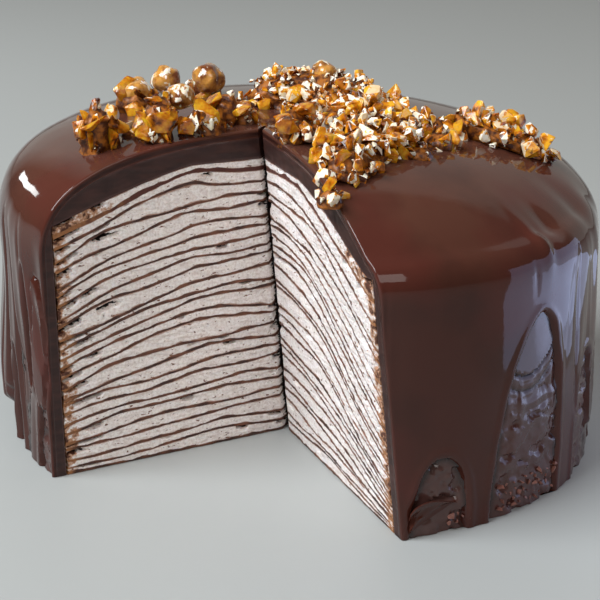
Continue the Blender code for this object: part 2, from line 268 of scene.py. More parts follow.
# %% Finish a mesh as a piece
def finished(name, mesh, material, sharp=40.0):
    """Turn a mesh's faces outwards, shade it and link it as an object at the origin."""
    build = bmesh.new()
    build.from_mesh(mesh)
    bmesh.ops.recalc_face_normals(build, faces=build.faces)
    build.to_mesh(mesh)
    build.free()
    mesh.materials.clear()
    mesh.materials.append(material)
    mesh.shade_smooth()
    mesh.set_sharp_from_angle(angle=math.radians(sharp))
    piece = bpy.data.objects.new(name, mesh)
    bpy.context.scene.collection.objects.link(piece)
    triangles = sum(len(face.vertices) - 2 for face in mesh.polygons)
    print(f"{name}: {triangles} triangles")
    return piece


# %% [markdown]
# ## The outline seen from above
#
# Seen from above the cake is a disc with a wedge out of it, and at the wedge's tip the knife went a few
# millimetres too far. Each height has its own outline, because the cut leans. One function walks it: round
# the back from the right face to the left, in along the left face, through the knife's slot, and out again.

# %% Walk round the outline
def round_bearing(height, radius, shares):
    """Bearings on a circle, at shares of the way from the right face round the back to the left."""
    start = face_end(height, radius, RIGHT_FACE)
    end = face_end(height, radius, LEFT_FACE) + 2 * math.pi
    return start + (end - start) * shares


def round_plan(height, radius, shares):
    return radius[..., None] * direction(round_bearing(height, radius, shares))


class Outline:
    """Where points stand along the outline, as shares of each stretch."""

    def __init__(self, round_shares, face_step):
        self.round = round_shares
        self.face = np.linspace(1.0, KNIFE_MOUTH / RIM_RADIUS, round(0.100 / face_step))[1:]
        self.slot = ((-1, 0.35), (-1, 0.7), (0, 1.0), (1, 0.7), (1, 0.35))   # side and depth
        rim, face, slot = len(self.round), len(self.face), len(self.slot)
        self.count = rim + 2 * face + slot
        self.rim_part = slice(0, rim)
        self.left_part = slice(rim, rim + face)
        self.slot_part = slice(rim + face, rim + face + slot)
        self.right_part = slice(rim + face + slot, self.count)
        self.normals = np.zeros((self.count, 3))
        self.normals[self.left_part] = LEFT_NORMAL
        self.normals[self.right_part] = RIGHT_NORMAL

    def plan(self, height, radius):
        """Plan points of the outline, where each point stands at its own height."""
        radius = radius * np.ones(height.shape)
        parts = [round_plan(height[..., self.rim_part], radius[..., self.rim_part], self.round)]
        for part, face, shares in ((self.left_part, LEFT_FACE, self.face),
                                   (self.right_part, RIGHT_FACE, self.face[::-1])):
            tip = wedge_tip(height[..., part])
            out = face_end(height[..., part], radius[..., part], face)
            out = radius[..., part, None] * direction(out)
            parts.append(tip + (out - tip) * shares[:, None])
        slot = wedge_tip(height[..., self.slot_part])
        side, depth = np.array(self.slot).T
        level = np.stack((0.0 * height, 0.0 * height, height), axis=-1)[..., :1, :]
        ragged = 1.0 + MOUTH_UNEVENNESS * noise(level, 0.0024, 9)
        mouth = KNIFE_MOUTH * math.sin((RIGHT_FACE - LEFT_FACE) / 2) * ragged
        slot = slot + BACKWARDS * (KNIFE_DEPTH * depth)[:, None]
        slot = slot + SIDEWAYS * (mouth * side * (1.0 - depth))[..., None]
        return np.concatenate((parts[0], parts[1], slot, parts[2]), axis=-2)


def core_point(height):
    """The point in plan that the inner rings shrink to."""
    return wedge_tip(height) + BACKWARDS * CORE_REACH


print("tip of the wedge at the foot:", (1000 * wedge_tip(np.zeros(1))[0]).round(1), "mm")

# %% [markdown]
# ## How thick each layer lies
#
# Someone spreads every layer of cream by hand, so it is thicker here and thinner there, and a crepe
# follows what lies under it. The lines on the cut face then wander, run together and part again. So each
# crepe strays from its level by noise of its own, and the cream takes up the difference. No storey may
# shrink to nothing, and all of them are scaled to fill the stack's height: that way no two layers can
# ever cross.

# %% Heights of the layers' surfaces
LAYER_PAIRS = 25
CREPE_THICKNESS = 0.00088
STACK_RADIUS = 0.1037          # edge of the layers
STACK_HEIGHT = HEIGHT - GLAZE_TOP - COAT_TOP - 0.0006
DROOP_START = 0.054            # the layers lie flat out to here
EDGE_DROOP = 0.15              # share of its height that a layer has lost at its edge
RIM_SQUEEZE = (0.24, 1.12)     # how much more the lower layers are pressed together at the rim,
                               # at the left and beside the right-hand cut
SQUEEZE_START = 0.030          # it begins at this radius
SQUEEZE_POWER = 1.7            # and grows outwards with this power
STOREY_SPREAD = (0.78, 1.22)   # how unlike the storeys are, as shares of the spacing
WANDER = 0.62                  # how far a crepe strays from its level, as a share of the spacing
RIPPLE = 0.07                  # and how far it ripples in shorter waves
LEAST_STOREY = 0.34            # the least height of a crepe with its cream, as a share of the spacing
MOST_CREPE = 0.72              # a crepe takes up no more than this share of its storey
TOP_CREPE = 1.5                # how much thicker the top crepe is
SPREAD_SEED = 24


def stack_top(radius):
    past = np.clip((radius - DROOP_START) / (STACK_RADIUS - DROOP_START), 0.0, None)
    return STACK_HEIGHT * (1.0 - EDGE_DROOP * past ** 1.2)


def layer_surfaces(plan):
    """Heights of the 51 surfaces of the stack, from the foot up, at points of the plan."""
    radius = np.hypot(plan[..., 0], plan[..., 1])
    column = (-1,) + (1,) * radius.ndim
    spots = np.zeros((LAYER_PAIRS,) + plan.shape[:-1] + (3,))
    spots[..., :2] = plan
    spots[..., 2] = np.arange(LAYER_PAIRS).reshape(column)
    even = np.random.default_rng(SPREAD_SEED).uniform(*STOREY_SPREAD, LAYER_PAIRS).reshape(column)
    upper = np.linspace(-1.0, 1.0, LAYER_PAIRS).reshape(column)
    least, most = RIM_SQUEEZE
    squeeze = least + (most - least) * beside_right_cut(plan)
    outwards = np.clip((radius - SQUEEZE_START) / (STACK_RADIUS - SQUEEZE_START), 0.0, None)
    squeezed = squeeze * upper * outwards ** SQUEEZE_POWER
    wander = WANDER * noise(spots[1:], (0.034, 0.034, 0.70), SPREAD_SEED)
    wander += RIPPLE * noise(spots[1:], (0.011, 0.011, 0.70), SPREAD_SEED + 1)
    ends = np.zeros((1,) + radius.shape)
    change = np.diff(np.concatenate((ends, wander, ends)), axis=0)
    storey = even * np.exp(squeezed) * np.clip(1.0 + change, LEAST_STOREY, None)
    storey *= stack_top(radius) / storey.sum(0)
    crepe = CREPE_THICKNESS * (1.0 + 0.55 * noise(spots, (0.0055, 0.0055, 0.37), SPREAD_SEED + 2))
    crepe[-1] *= TOP_CREPE
    crepe = np.minimum(crepe, MOST_CREPE * storey)
    steps = np.stack((crepe, storey - crepe), axis=1).reshape((2 * LAYER_PAIRS,) + radius.shape)
    return np.concatenate((np.zeros((1,) + radius.shape), np.cumsum(steps, axis=0)))


print("stack:", LAYER_PAIRS, "crepes with cream,", round(1000 * STACK_HEIGHT, 1), "mm high")

# %% [markdown]
# ## Crepes and cream
#
# A knife drags through soft cream: it leaves small pores and level scratches, and pulls holes between the
# layers near the rim. A crepe is tougher, so its cut edge stands a little proud or stays a little back.
# Each layer is a closed sheet. Its wall on the cut faces has close columns and rows that the relief moves
# in and out; behind that, a few rings are enough.

# %% What the knife leaves on the layers
FACE_STEP = 0.00060            # columns along the cut faces
CREAM_ROWS = np.array((0.0, 0.10, 0.30, 0.50, 0.68, 0.82, 0.93, 1.0))
CREPE_ROWS = np.array((0.0, 0.5, 1.0))
INNER_RINGS = (0.93, 0.55)     # rings of the sheets inside, as shares of the way from the core
INNER_COLUMNS = 60
SHEET_GAP = 0.00004            # keeps one sheet off the next one inside
EDGE_UNEVENNESS = 0.0009       # how far a layer's edge stays back at most
SLOT_SHADE = (0.45, 1.0, 1.0, 1.0, 0.45)   # how dark the points of the knife's slot are
PORE_DEPTH = 0.00011           # relief of the cut cream: pores,
DRAG_DEPTH = 0.00022           # the knife's slanted scratches,
TEAR_DEPTH = 0.0042            # slits torn beside a crepe,
FLECK_DEPTH = 0.0008           # and small holes
PROUD = (-0.00022, 0.00016)    # how far a cut crepe stays back or stands out
FRIED_REACH = 0.013            # how far in from the rim a layer looks fried
TOP_FRIED_REACH = 0.055        # and the topmost one


def cream_relief(spots, share, from_rim, number):
    """How far the cut cream stands out, and a mark for its tears and holes, which are painted dark as their
    shade.
    """
    pores = PORE_DEPTH * noise(spots, 0.0012, 3)
    across = np.hypot(spots[..., 0], spots[..., 1])
    slanted = np.stack((across - 0.6 * spots[..., 2], across, np.zeros_like(across)), axis=-1)
    drag = DRAG_DEPTH * noise(slanted, (0.0012, 0.0060, 1.0), 4)
    slits = noise(spots + number * 0.013, (0.0110, 0.0110, 0.004), 5)
    near_rim = 1.0 - ramp(from_rim, 0.003, 0.030)
    from_tip = np.linalg.norm(spots[..., :2] - wedge_tip(spots[..., 2]), axis=-1)
    near_rim = np.maximum(near_rim, 0.85 * (1.0 - ramp(from_tip, 0.003, 0.011)))
    beside_crepe = np.exp(-((share - 0.82) / 0.16) ** 2)
    # The slits beside a crepe and the small holes are marked; there the cream is painted nearly black, as
    # the shade in them.
    torn = ramp(slits + 0.68 * near_rim, 0.58, 0.70) * beside_crepe
    flecks = ramp(noise(spots, (0.0024, 0.0024, 0.0010), 6), 0.66, 0.90) * np.sin(math.pi * share)
    return pores + drag - TEAR_DEPTH * torn - FLECK_DEPTH * flecks, np.maximum(torn, 0.5 * flecks)


def crepe_relief(spots, share, from_rim, number):
    """How far a cut crepe stands out, and a mark for tears painted dark as their shade, which is empty
    here.
    """
    proud = np.random.default_rng(number).uniform(*PROUD)
    crinkle = 0.00022 * noise(spots, (0.0030, 0.0030, 0.0012), 7)
    return proud + crinkle, np.zeros(spots.shape[:-1])


# %% Make one layer
def build_layer(shell, outline, lower, upper, inner, rows, relief, number):
    """One layer between two surfaces of the stack: its wall, its two sheets and their middles."""
    share = rows[:, None]
    wall = lower + (upper - lower) * share[..., None]
    from_rim = STACK_RADIUS - np.hypot(wall[..., 0], wall[..., 1])
    placed = settle(wall)
    out, torn = relief(placed, share, from_rim, number)
    facing = np.abs(outline.normals).sum(-1) > 0
    placed += outline.normals * (out * facing)[..., None]
    fried_reach = TOP_FRIED_REACH if number == LAYER_PAIRS - 1 else FRIED_REACH
    near_rim = 1.0 - ramp(from_rim, 0.0, fried_reach)
    torn = torn * facing
    # Painted shade: the knife's slot is marked dark for the shade inside it, on the crepes as on the cream.
    torn[:, outline.slot_part] = SLOT_SHADE
    edge = np.abs(2.0 * share - 1.0) ** 3
    numbers = shell.add(placed, torn=torn, rim=near_rim, edge=edge, layer=number / LAYER_PAIRS)
    closed = np.concatenate((numbers, numbers[:, :1]), axis=1)
    shell.grid(closed)
    around = np.linspace(0.0, 1.0, outline.count + 1)
    inner_at = np.linspace(0.0, 1.0, INNER_COLUMNS + 1)
    sheets = ((closed[0], inner[0], SHEET_GAP), (closed[-1], inner[1], -SHEET_GAP))
    for border, (rings, middle), gap in sheets:
        lift = np.array((0.0, 0.0, gap))
        sheet = shell.add(settle(rings + lift))
        sheet = np.concatenate((sheet, sheet[:, :1]), axis=1)
        shell.stitch(border, around, sheet[0], inner_at)
        shell.grid(sheet)
        centre = shell.add(settle(middle[None] + lift))
        shell.fan(sheet[-1, :-1], centre[0])


# %% Make all the layers
def layer_levels(outline):
    """The outline and the inner rings on each of the 51 surfaces, before the cake settles."""
    count = 2 * LAYER_PAIRS + 1
    own = np.arange(count)
    short = np.random.default_rng(8).uniform(0.0, EDGE_UNEVENNESS, count)
    height = np.linspace(0.0, STACK_HEIGHT, count)[:, None] * np.ones(outline.count)
    for _ in range(2):
        plan = outline.plan(height, STACK_RADIUS - short[:, None])
        height = layer_surfaces(plan)[own, own]
    levels = np.concatenate((plan, height[..., None]), axis=-1)
    columns = np.linspace(0, outline.count, INNER_COLUMNS + 1)[:-1].round().astype(int)
    inner = []
    for level in range(count):
        core = core_point(height[level, :1])
        spokes = levels[level, columns, :2] - core
        rings = np.stack([core + share * spokes for share in INNER_RINGS])
        ring_heights = layer_surfaces(rings)[level]
        middle = np.append(core[0], layer_surfaces(core[0])[level])
        inner.append((np.concatenate((rings, ring_heights[..., None]), axis=-1), middle))
    return levels, inner


def layer_pieces(crepe_material, cream_material):
    outline = Outline(np.linspace(0.0, 1.0, 90), FACE_STEP)
    levels, inner = layer_levels(outline)
    crepes = Shell("torn", "rim", "layer")
    creams = Shell("torn", "rim", "edge")
    for pair in range(LAYER_PAIRS):
        low = 2 * pair
        build_layer(crepes, outline, levels[low], levels[low + 1], inner[low:low + 2],
                    CREPE_ROWS, crepe_relief, pair)
        build_layer(creams, outline, levels[low + 1], levels[low + 2], inner[low + 1:low + 3],
                    CREAM_ROWS, cream_relief, pair)
    return crepes.piece("crepes", crepe_material, 60), creams.piece("cream", cream_material, 60)


# %% [markdown]
# ## Where the glaze ran
#
# A poured glaze runs down in tongues that join above and leave arches between them; some tongues stop in
# a round drop before they reach the foot. The arches beside the wedge are listed one by one. Round the back
# the same rule goes on with a seeded die, as it does in the solid model.

# %% Outlines of the openings in the glaze
ARCHES = (                     # bearing in degrees, half width, height, lean of the top
    (24.2, 0.0106, 0.027, 0.002),
    (43.8, 0.0172, 0.069, 0.007),
    (-55.2, 0.0042, 0.025, 0.002),
    (-68.5, 0.0030, 0.038, 0.001),
)
LEFT_SHORT_RUN = (-76.0, 0.0062, 0.010)
SLOT = (-58.5, 0.0017, 0.030, 0.073)
HEM_START, HEM_END = math.radians(60.5), math.radians(276.0)
HEM_SEED = 11
ARCH_HALF_WIDTHS = (0.0055, 0.0150)
ARCH_HEIGHTS = (0.022, 0.064)
RUN_WIDTHS = (0.008, 0.016)
SHORT_RUN_ENDS = (0.005, 0.015)
SHORT_RUN_SHARE = 0.55
BELOW_FOOT = 0.004             # the openings reach this far below the foot
CURVE_STEPS = 24


def arch_outline(half_width, height, lean):
    turn = np.linspace(0.0, math.pi, CURVE_STEPS + 1)
    rise = np.sin(turn) ** 0.8
    spread = np.copysign(np.abs(np.cos(turn)) ** 1.1, np.cos(turn))
    curve = np.stack((lean * rise + half_width * spread, height * rise), -1)
    return np.concatenate((((-half_width, -BELOW_FOOT), (half_width, -BELOW_FOOT)), curve))


def run_end_outline(half_width, end):
    turn = np.linspace(0.0, math.pi, CURVE_STEPS + 1)
    curve = np.stack((half_width * np.cos(turn), end + half_width * (1.0 - np.sin(turn))), -1)
    return np.concatenate((((-half_width, -BELOW_FOOT), (half_width, -BELOW_FOOT)), curve))


def slot_outline(half_width, bottom, top):
    turn = np.linspace(0.0, 2 * math.pi, CURVE_STEPS + 1)[:-1]
    middle, reach = (bottom + top) / 2, (top - bottom) / 2
    return np.stack((half_width * np.sin(turn), middle + reach * np.cos(turn)), -1)


def hem_outlines():
    """Bearing and outline of every opening."""
    outlines = [(math.radians(bearing), arch_outline(*sizes)) for bearing, *sizes in ARCHES]
    bearing, *sizes = LEFT_SHORT_RUN
    outlines.append((math.radians(bearing), run_end_outline(*sizes)))
    bearing, *sizes = SLOT
    outlines.append((math.radians(bearing), slot_outline(*sizes)))
    dice = random.Random(HEM_SEED)
    bearing = HEM_START
    while bearing < HEM_END:
        half_width = dice.uniform(*ARCH_HALF_WIDTHS)
        height = dice.uniform(*ARCH_HEIGHTS)
        bearing += half_width / BASE_RADIUS
        outlines.append((bearing, arch_outline(half_width, height, dice.uniform(-0.3, 0.3) * half_width)))
        half_run = dice.uniform(*RUN_WIDTHS) / 2
        bearing += (half_width + half_run) / BASE_RADIUS
        if dice.random() < SHORT_RUN_SHARE:
            end = dice.uniform(*SHORT_RUN_ENDS)
            outlines.append((bearing, run_end_outline(half_run + 0.0003, end)))
        bearing += half_run / BASE_RADIUS
    return outlines


print("openings in the glaze:", len(hem_outlines()))

# %% Distance to the nearest opening
def distance_to_outline(spots, outline):
    """Distance of flat points to a closed outline: positive outside it, negative inside."""
    nearest = np.full(spots.shape[:-1], 1.0)
    inside = np.zeros(spots.shape[:-1], bool)
    for start, end in zip(outline, np.roll(outline, -1, axis=0)):
        edge = end - start
        offset = spots - start
        along = np.clip((offset @ edge) / max(edge @ edge, 1e-12), 0.0, 1.0)
        nearest = np.minimum(nearest, np.linalg.norm(offset - along[..., None] * edge, axis=-1))
        crosses = (start[1] > spots[..., 1]) != (end[1] > spots[..., 1])
        rise = edge[1] if abs(edge[1]) > 1e-12 else 1e-12
        inside ^= crosses & (spots[..., 0] < start[0] + edge[0] * (spots[..., 1] - start[1]) / rise)
    return np.where(inside, -nearest, nearest)


def glaze_distance(bearing, height):
    """Distance from points of the side to the nearest opening; negative where the glaze is open."""
    distance = np.full(bearing.shape, 0.03)
    for centre, outline in hem_outlines():
        aside = (bearing - centre + math.pi) % (2 * math.pi) - math.pi
        near = np.abs(aside) * BASE_RADIUS < np.abs(outline[:, 0]).max() + 0.010
        spots = np.stack((aside[near] * BASE_RADIUS, height[near]), -1)
        distance[near] = np.minimum(distance[near], distance_to_outline(spots, outline))
    return distance

# %% [markdown]
# ## A skin over the whole cake
#
# The coat and the glaze are both skins with the same two regions: a disc for the top, whose rings run
# beside the cut faces, and a strip for the shoulder and the side. A skin's own depth under the cake's
# outside may vary from point to point, which is how runs, beads, lumps and arches come into it.

# %% Points of a skin
DISC_RADIUS = 0.085            # the top's disc ends and the shoulder's strip begins
FINE_COLUMN = 0.00062          # columns beside the wedge
COARSE_COLUMN = 0.0016         # and round the back
FINE_REACH = 0.088             # how far from the wedge the fine columns go
ROUND_LENGTH = 0.554           # the whole way round, from one cut face to the other


def fine_round():
    """Shares of the way round, closer together beside the wedge, closest at its two edges."""
    half = [0.0, 0.00012, 0.00030, 0.00055, 0.0009]
    while half[-1] < ROUND_LENGTH / 2:
        half.append(half[-1] + (FINE_COLUMN if half[-1] < FINE_REACH else COARSE_COLUMN))
    half = np.array(half[:-1])
    return np.concatenate((half, ROUND_LENGTH - half[::-1])) / ROUND_LENGTH


print("columns round the cake:", len(fine_round()))

# %% A skin's disc and strip
class Skin:
    """The grids of one skin: a disc of rings for the top, and a strip of rows down the side."""

    def __init__(self, outline, rings, shoulder_rows, side_rows):
        self.outline = outline
        self.rings = np.asarray(rings)
        first = math.asin((DISC_RADIUS / RIM_RADIUS) ** (CROWN_POWER / 2))
        self.reach = np.sin(np.linspace(first, math.pi / 2, shoulder_rows)) ** (2 / CROWN_POWER)
        self.down = np.linspace(0.0, 1.0, side_rows + 1)[1:]
        self.turned = np.concatenate((np.linspace(0.0, 1.0, shoulder_rows), np.ones(side_rows)))[:, None]
        self.disc_shape = (len(self.rings), outline.count)
        self.strip_shape = (shoulder_rows + side_rows, len(outline.round))

    def blend(self, at_top, at_side):
        """A value for each point of the strip that changes over the shoulder."""
        return at_top + (at_side - at_top) * self.turned * np.ones(self.strip_shape)

    def disc(self, inset):
        """Points of the top's rings at an inset below the cake's outside, one for each point."""
        height = np.full(self.disc_shape, HEIGHT)
        for _ in range(3):
            edge = self.outline.plan(height, DISC_RADIUS)
            core = core_point(height)
            plan = core + (edge - core) * self.rings[:, None, None]
            height = crown(np.hypot(plan[..., 0], plan[..., 1]), inset, inset)
        return np.concatenate((plan, height[..., None]), axis=-1)

    def strip(self, inset):
        """Points of the shoulder's and the side's rows at an inset."""
        shoulder = len(self.reach)
        radius = (RIM_RADIUS - inset[:shoulder]) * self.reach[:, None]
        radius[0] = DISC_RADIUS
        height = crown(radius, inset[:shoulder], inset[:shoulder])
        down = self.down[:, None] * np.ones(self.strip_shape[1])
        side_radius = RIM_RADIUS + (BASE_RADIUS - RIM_RADIUS) * down - inset[shoulder:]
        radius = np.concatenate((radius, side_radius))
        height = np.concatenate((height, SHOULDER_HEIGHT * (1.0 - down)))
        plan = round_plan(height, radius, self.outline.round)
        return np.concatenate((plan, height[..., None]), axis=-1)


def from_cut(points):
    """Distance of points to the nearer cut face; negative inside the wedge."""
    tip = wedge_tip(points[..., 2])
    offset = points[..., :2] - tip
    left = -(offset @ LEFT_NORMAL[:2])
    right = -(offset @ RIGHT_NORMAL[:2])
    return np.maximum(left, right)


# %% [markdown]
# ## Closing a skin at the cut
#
# A skin has an outside and an inside. Along the wedge they are joined by a wall, and that wall is what
# shows as the dark band over the layers. It gets rows of its own, so the knife's drag can be modelled on
# it. At the foot the two sides are stitched together.

# %% Join the outside and the inside of a skin
def add_skin(shell, skin, disc, strip, **marks):
    """Add one side of a skin. Gives its path along the cut, its row at the foot and their points."""
    outline = skin.outline
    disc_numbers = shell.add(settle(disc[:-1]))
    strip_below = shell.add(settle(strip[1:]), **{name: values[1:] for name, values in marks.items()})
    strip_numbers = np.concatenate((disc_numbers[:1, outline.rim_part], strip_below))
    shell.grid(strip_numbers)
    shell.grid(np.concatenate((disc_numbers, disc_numbers[:, :1]), axis=1))
    shell.fan(disc_numbers[-1], shell.add(settle(disc[-1, :1]))[0])
    rim = outline.rim_part.stop
    path = np.concatenate((strip_numbers[:0:-1, -1], disc_numbers[0, rim - 1:], disc_numbers[0, :1],
                           strip_numbers[1:, 0]))
    return path, strip_numbers[-1]


def cut_normals(skin):
    """The cut face's normal at each point of the path; none where the two faces meet."""
    rows = len(skin.reach) + len(skin.down)
    middle = skin.outline.normals[skin.outline.rim_part.stop:]
    return np.concatenate((np.tile(LEFT_NORMAL, (rows, 1)), middle, np.tile(RIGHT_NORMAL, (rows, 1))))


def close_skin(shell, outside, inside, shares, relief, outer_round, inner_round):
    """Wall along the cut between the two sides, and the seam at the foot."""
    (outer_path, outer_foot), (inner_path, inner_foot) = outside, inside
    points = np.concatenate(shell.points)
    start, end = points[outer_path], points[inner_path]
    between = start + (end - start) * np.asarray(shares)[:, None, None]
    numbers = shell.add(between + relief(between), cut=1.0)
    wall = np.concatenate((outer_path[None], numbers, inner_path[None]))
    shell.grid(wall)
    edge = np.zeros(len(shares))
    second = np.concatenate((numbers[:, -1], inner_foot, numbers[::-1, 0]))
    shell.stitch(outer_foot, outer_round, second, np.concatenate((edge, inner_round, edge + 1.0)))


# %% [markdown]
# ## The ganache coat
#
# Before the glaze, the baker seals the stack with ganache, put on with a palette knife. It shows in the
# arches, where it is lumpy and torn, and as the wide dark band on the cut. Here its relief is real
# geometry: smooth swells, ridges where the knife lifted, and crumbs. It fades out at the cut so that it
# meets the glaze there without a gap.

# %% Relief of the coat
COARSE_ROUND = np.concatenate(((0.0, 0.004), np.linspace(0.02, 0.98, 46), (0.996, 1.0)))
SHOULDER_ROWS = 18
SIDE_ROWS = 84
OVER_ROWS = 11                 # of the shoulder's rows, those that the coat's inside has over the top
TALL_ARCH = math.radians(44.5)     # where the knife left a curved crease in the coat
CREASE_HEIGHT = 0.0520
CREASE_RISE = 0.0035           # how much higher its ends lie
CREASE_HALF_WIDTH = 0.0090
CREASE_DEPTH = 0.00080
OVERHANG = 0.00055             # how far the coat stands out just over the crease
STREAK_DEPTH = 0.00070         # depth of the upright streaks under it
KNIFE_RIDGE = 0.00045          # near the foot: height of the ridges that the knife left,
COAT_LUMP = 0.00040            # of the lumps
COAT_CRUMB = 0.00045           # and of the crumbs,
COAT_HOLE = 0.00110            # and depth of the holes
COAT_BACK = 0.00020            # how far the coat stays back on the whole
COAT_LIMITS = (-0.00125, 0.00060)  # its relief stays between these
CUT_STEP = 0.0010              # columns along the cut
LAYER_GAP = 0.00015            # space between the layers and the coat
DISC_RINGS = (1.0, 0.996, 0.990, 0.980, 0.962, 0.93, 0.88, 0.80, 0.70, 0.56, 0.40, 0.22, 0.08, 0.0)


def above_crease(points):
    """Height over the curved crease that the knife left, and how much it strays from a smooth curve."""
    bearing = np.arctan2(points[..., 0], -points[..., 1])
    aside = (bearing - TALL_ARCH) * BASE_RADIUS / CREASE_HALF_WIDTH
    stray = noise(points * (1.0, 1.0, 0.0), 0.020, 24)
    curve = np.where(np.abs(aside) < 1.6, 1.0 - np.clip(aside, -1.6, 1.6) ** 2, -1.56 + stray)
    return points[..., 2] - CREASE_HEIGHT + CREASE_RISE * curve, stray


def creases(points):
    """1 in the crease and in the shorter one under it, 0 away from them."""
    over, stray = above_crease(points)
    first = np.exp(-((over + 0.0005) / 0.00065) ** 2)
    second = np.exp(-((over + 0.0060 + 0.0012 * stray) / 0.00075) ** 2)
    return np.maximum(first, 0.8 * second)


def coat_relief(points):
    """How far the coat's outside stands out; lumpier towards the foot."""
    height = points[..., 2]
    lower = 1.0 - ramp(height, 0.034, 0.048)
    swell = 0.00030 * noise(points, 0.018, 20)
    ridges = 1.0 - 2.2 * np.abs(noise(points, (0.011, 0.011, 0.0055), 21))
    lumps = noise(points, 0.0060, 22)
    crumbs = ramp(noise(points, 0.0024, 23), 0.30, 0.70)
    holes = ramp(noise(points, (0.0055, 0.0055, 0.0040), 25), 0.30, 0.55)
    rough = KNIFE_RIDGE * ridges + COAT_LUMP * lumps + COAT_CRUMB * crumbs - COAT_HOLE * holes
    over, _ = above_crease(points)
    overhang = OVERHANG * np.exp(-np.clip(over, 0.0, None) / 0.0030) * (over > 0)
    smears = np.abs(noise(points, (0.0045, 0.0045, 0.0200), 26)) - 0.3
    streaks = STREAK_DEPTH * smears * ramp(-over, 0.0, 0.002) * ramp(height, 0.028, 0.036)
    relief = swell + rough * lower + overhang - CREASE_DEPTH * creases(points) + streaks
    return np.clip(relief - COAT_BACK, *COAT_LIMITS)


# %% Make the coat
def coat_inside(skin):
    """The coat's inside: over the top layer out to its edge, then down beside the layers."""
    radius = np.full(skin.strip_shape, STACK_RADIUS + LAYER_GAP)
    radius[:OVER_ROWS] = np.linspace(DISC_RADIUS, STACK_RADIUS + LAYER_GAP, OVER_ROWS)[:, None]
    height = stack_top(radius) + LAYER_GAP
    corner = height[OVER_ROWS, 0]
    below = np.linspace(corner, SHOULDER_HEIGHT, len(skin.reach) - OVER_ROWS + 1)
    height[OVER_ROWS - 1:len(skin.reach)] = below[:, None]
    height[len(skin.reach):] = SHOULDER_HEIGHT * (1.0 - skin.down[:, None])
    plan = round_plan(height, radius, skin.outline.round)
    return np.concatenate((plan, height[..., None]), axis=-1)


def coat_piece(material):
    shell = Shell("cut", "deep")
    skin = Skin(Outline(fine_round(), CUT_STEP), (1.0, 0.97, 0.88, 0.6, 0.0), SHOULDER_ROWS, SIDE_ROWS)
    inset = skin.blend(GLAZE_TOP, GLAZE_SIDE)
    strip = skin.strip(inset)
    rough = skin.strip(inset - coat_relief(strip) * ramp(from_cut(strip), 0.0003, 0.0020) * skin.turned)
    bearing = np.arctan2(strip[..., 0], -strip[..., 1])
    # Painted shade: the coat is marked next to the glaze's lips and in its creases, and painted darker
    # there, as the shade that they cast.
    deep = np.maximum(ramp(glaze_distance(bearing, strip[..., 2]), -0.0028, 0.0002), creases(strip))
    outside = add_skin(shell, skin, skin.disc(np.full(skin.disc_shape, GLAZE_TOP)), rough, deep=deep)

    hidden = Skin(Outline(COARSE_ROUND, CUT_STEP), (1.0, 0.8, 0.4, 0.0), SHOULDER_ROWS, SIDE_ROWS)
    disc = hidden.disc(np.full(hidden.disc_shape, GLAZE_TOP + COAT_TOP))
    disc[..., 2] = stack_top(np.hypot(disc[..., 0], disc[..., 1])) + LAYER_GAP
    strip = coat_inside(hidden)
    inside = add_skin(shell, hidden, disc, strip)
    normals = cut_normals(skin)

    def relief(points):
        drag = 0.00022 * noise(points, (0.010, 0.010, 0.0012), 30) + 0.00012 * noise(points, 0.0030, 31)
        return normals * (drag + 0.00008 * noise(points, 0.0011, 32))[..., None]

    close_skin(shell, outside, inside, np.linspace(0.0, 1.0, 9)[1:-1], relief, fine_round(), COARSE_ROUND)
    return shell.piece("ganache_coat", material)


# %% [markdown]
# ## The poured glaze
#
# The glaze is a shell whose thickness is worked out at each point: a thin sheet, a bead along every edge
# where the chocolate gathered, and rounded lips that go down into the coat where there is an opening.
# Long upright swells show where the runs went. Because the openings are places where the shell dives
# under the coat, not holes, its edge is as smooth as the distance that it is drawn from.

# %% Runs, ribbon and grooves of the glaze
SHEET = 0.00110                # thickness of the glaze on the side, away from its edges
BEAD = 0.00032                 # how much thicker it is beside an opening
SWELL = 0.00095                # how much the runs stand out, away from the smooth front
GROOVE = 0.00085               # depth of the narrow grooves between two runs
RIBBON_BEARING = math.radians(-54.0)       # a ribbon of glaze that slid down beside the left-hand cut
RIBBON = (0.0046, 0.021, 0.071)            # its half width, bottom and top
RIBBON_RISE = 0.00095
RIBBON_BEND = 0.0011           # how far it bends aside
LEFT_RUN = math.radians(-78.0)             # the thickest run stands out of the side here
LEFT_RUN_BULGE = 0.0046
LEFT_RUN_WIDTH = 8.0           # half of its width, in degrees
LEFT_RUN_FADE = (0.020, 0.066) # heights between which it fades out
LEFT_GROOVES = (               # bearing in degrees at the foot and at the top, half width, depth
    (-72.5, -70.0, 0.0014, 0.0032),
    (-63.5, -66.0, 0.0013, 0.0010),
    (-84.0, -83.0, 0.0016, 0.0014),
)
SMOOTH_FRONT = 37.0            # bearing in degrees of the smooth front,
SMOOTH_REACH = (16.0, 32.0)    # and how far from it the runs begin, and have their full depth
LEAST_GLAZE = 0.0003           # a groove leaves this thickness at least
LIP_SLOPE = 3.0                # how steeply an edge rises out of the coat
DIVE = 0.0017                  # how far under the coat's surface the shell goes in an opening
CUT_ROUNDING = 0.0007          # radius of the glaze's edge along the cut
LEAST_INSET_FOOT = 0.00075     # the outside stays this far inside the solid glaze's circle at the foot
LEAST_INSET_RIM = 0.00038      # and this far under the shoulder
SUNK = 0.0020                  # how far the shell's hidden inside lies in the coat


def ribbon_bend(height):
    """How far the loose ribbon bends aside at a height."""
    return RIBBON_BEND * np.sin((height - RIBBON[1]) / (RIBBON[2] - RIBBON[1]) * 2 * math.pi)


def left_run(points, bearing):
    """How much the thick run at the left stands out; most at its end."""
    aside = np.degrees(bearing - LEFT_RUN) / LEFT_RUN_WIDTH
    return LEFT_RUN_BULGE * np.exp(-aside ** 2) * (1.0 - ramp(points[..., 2], *LEFT_RUN_FADE))


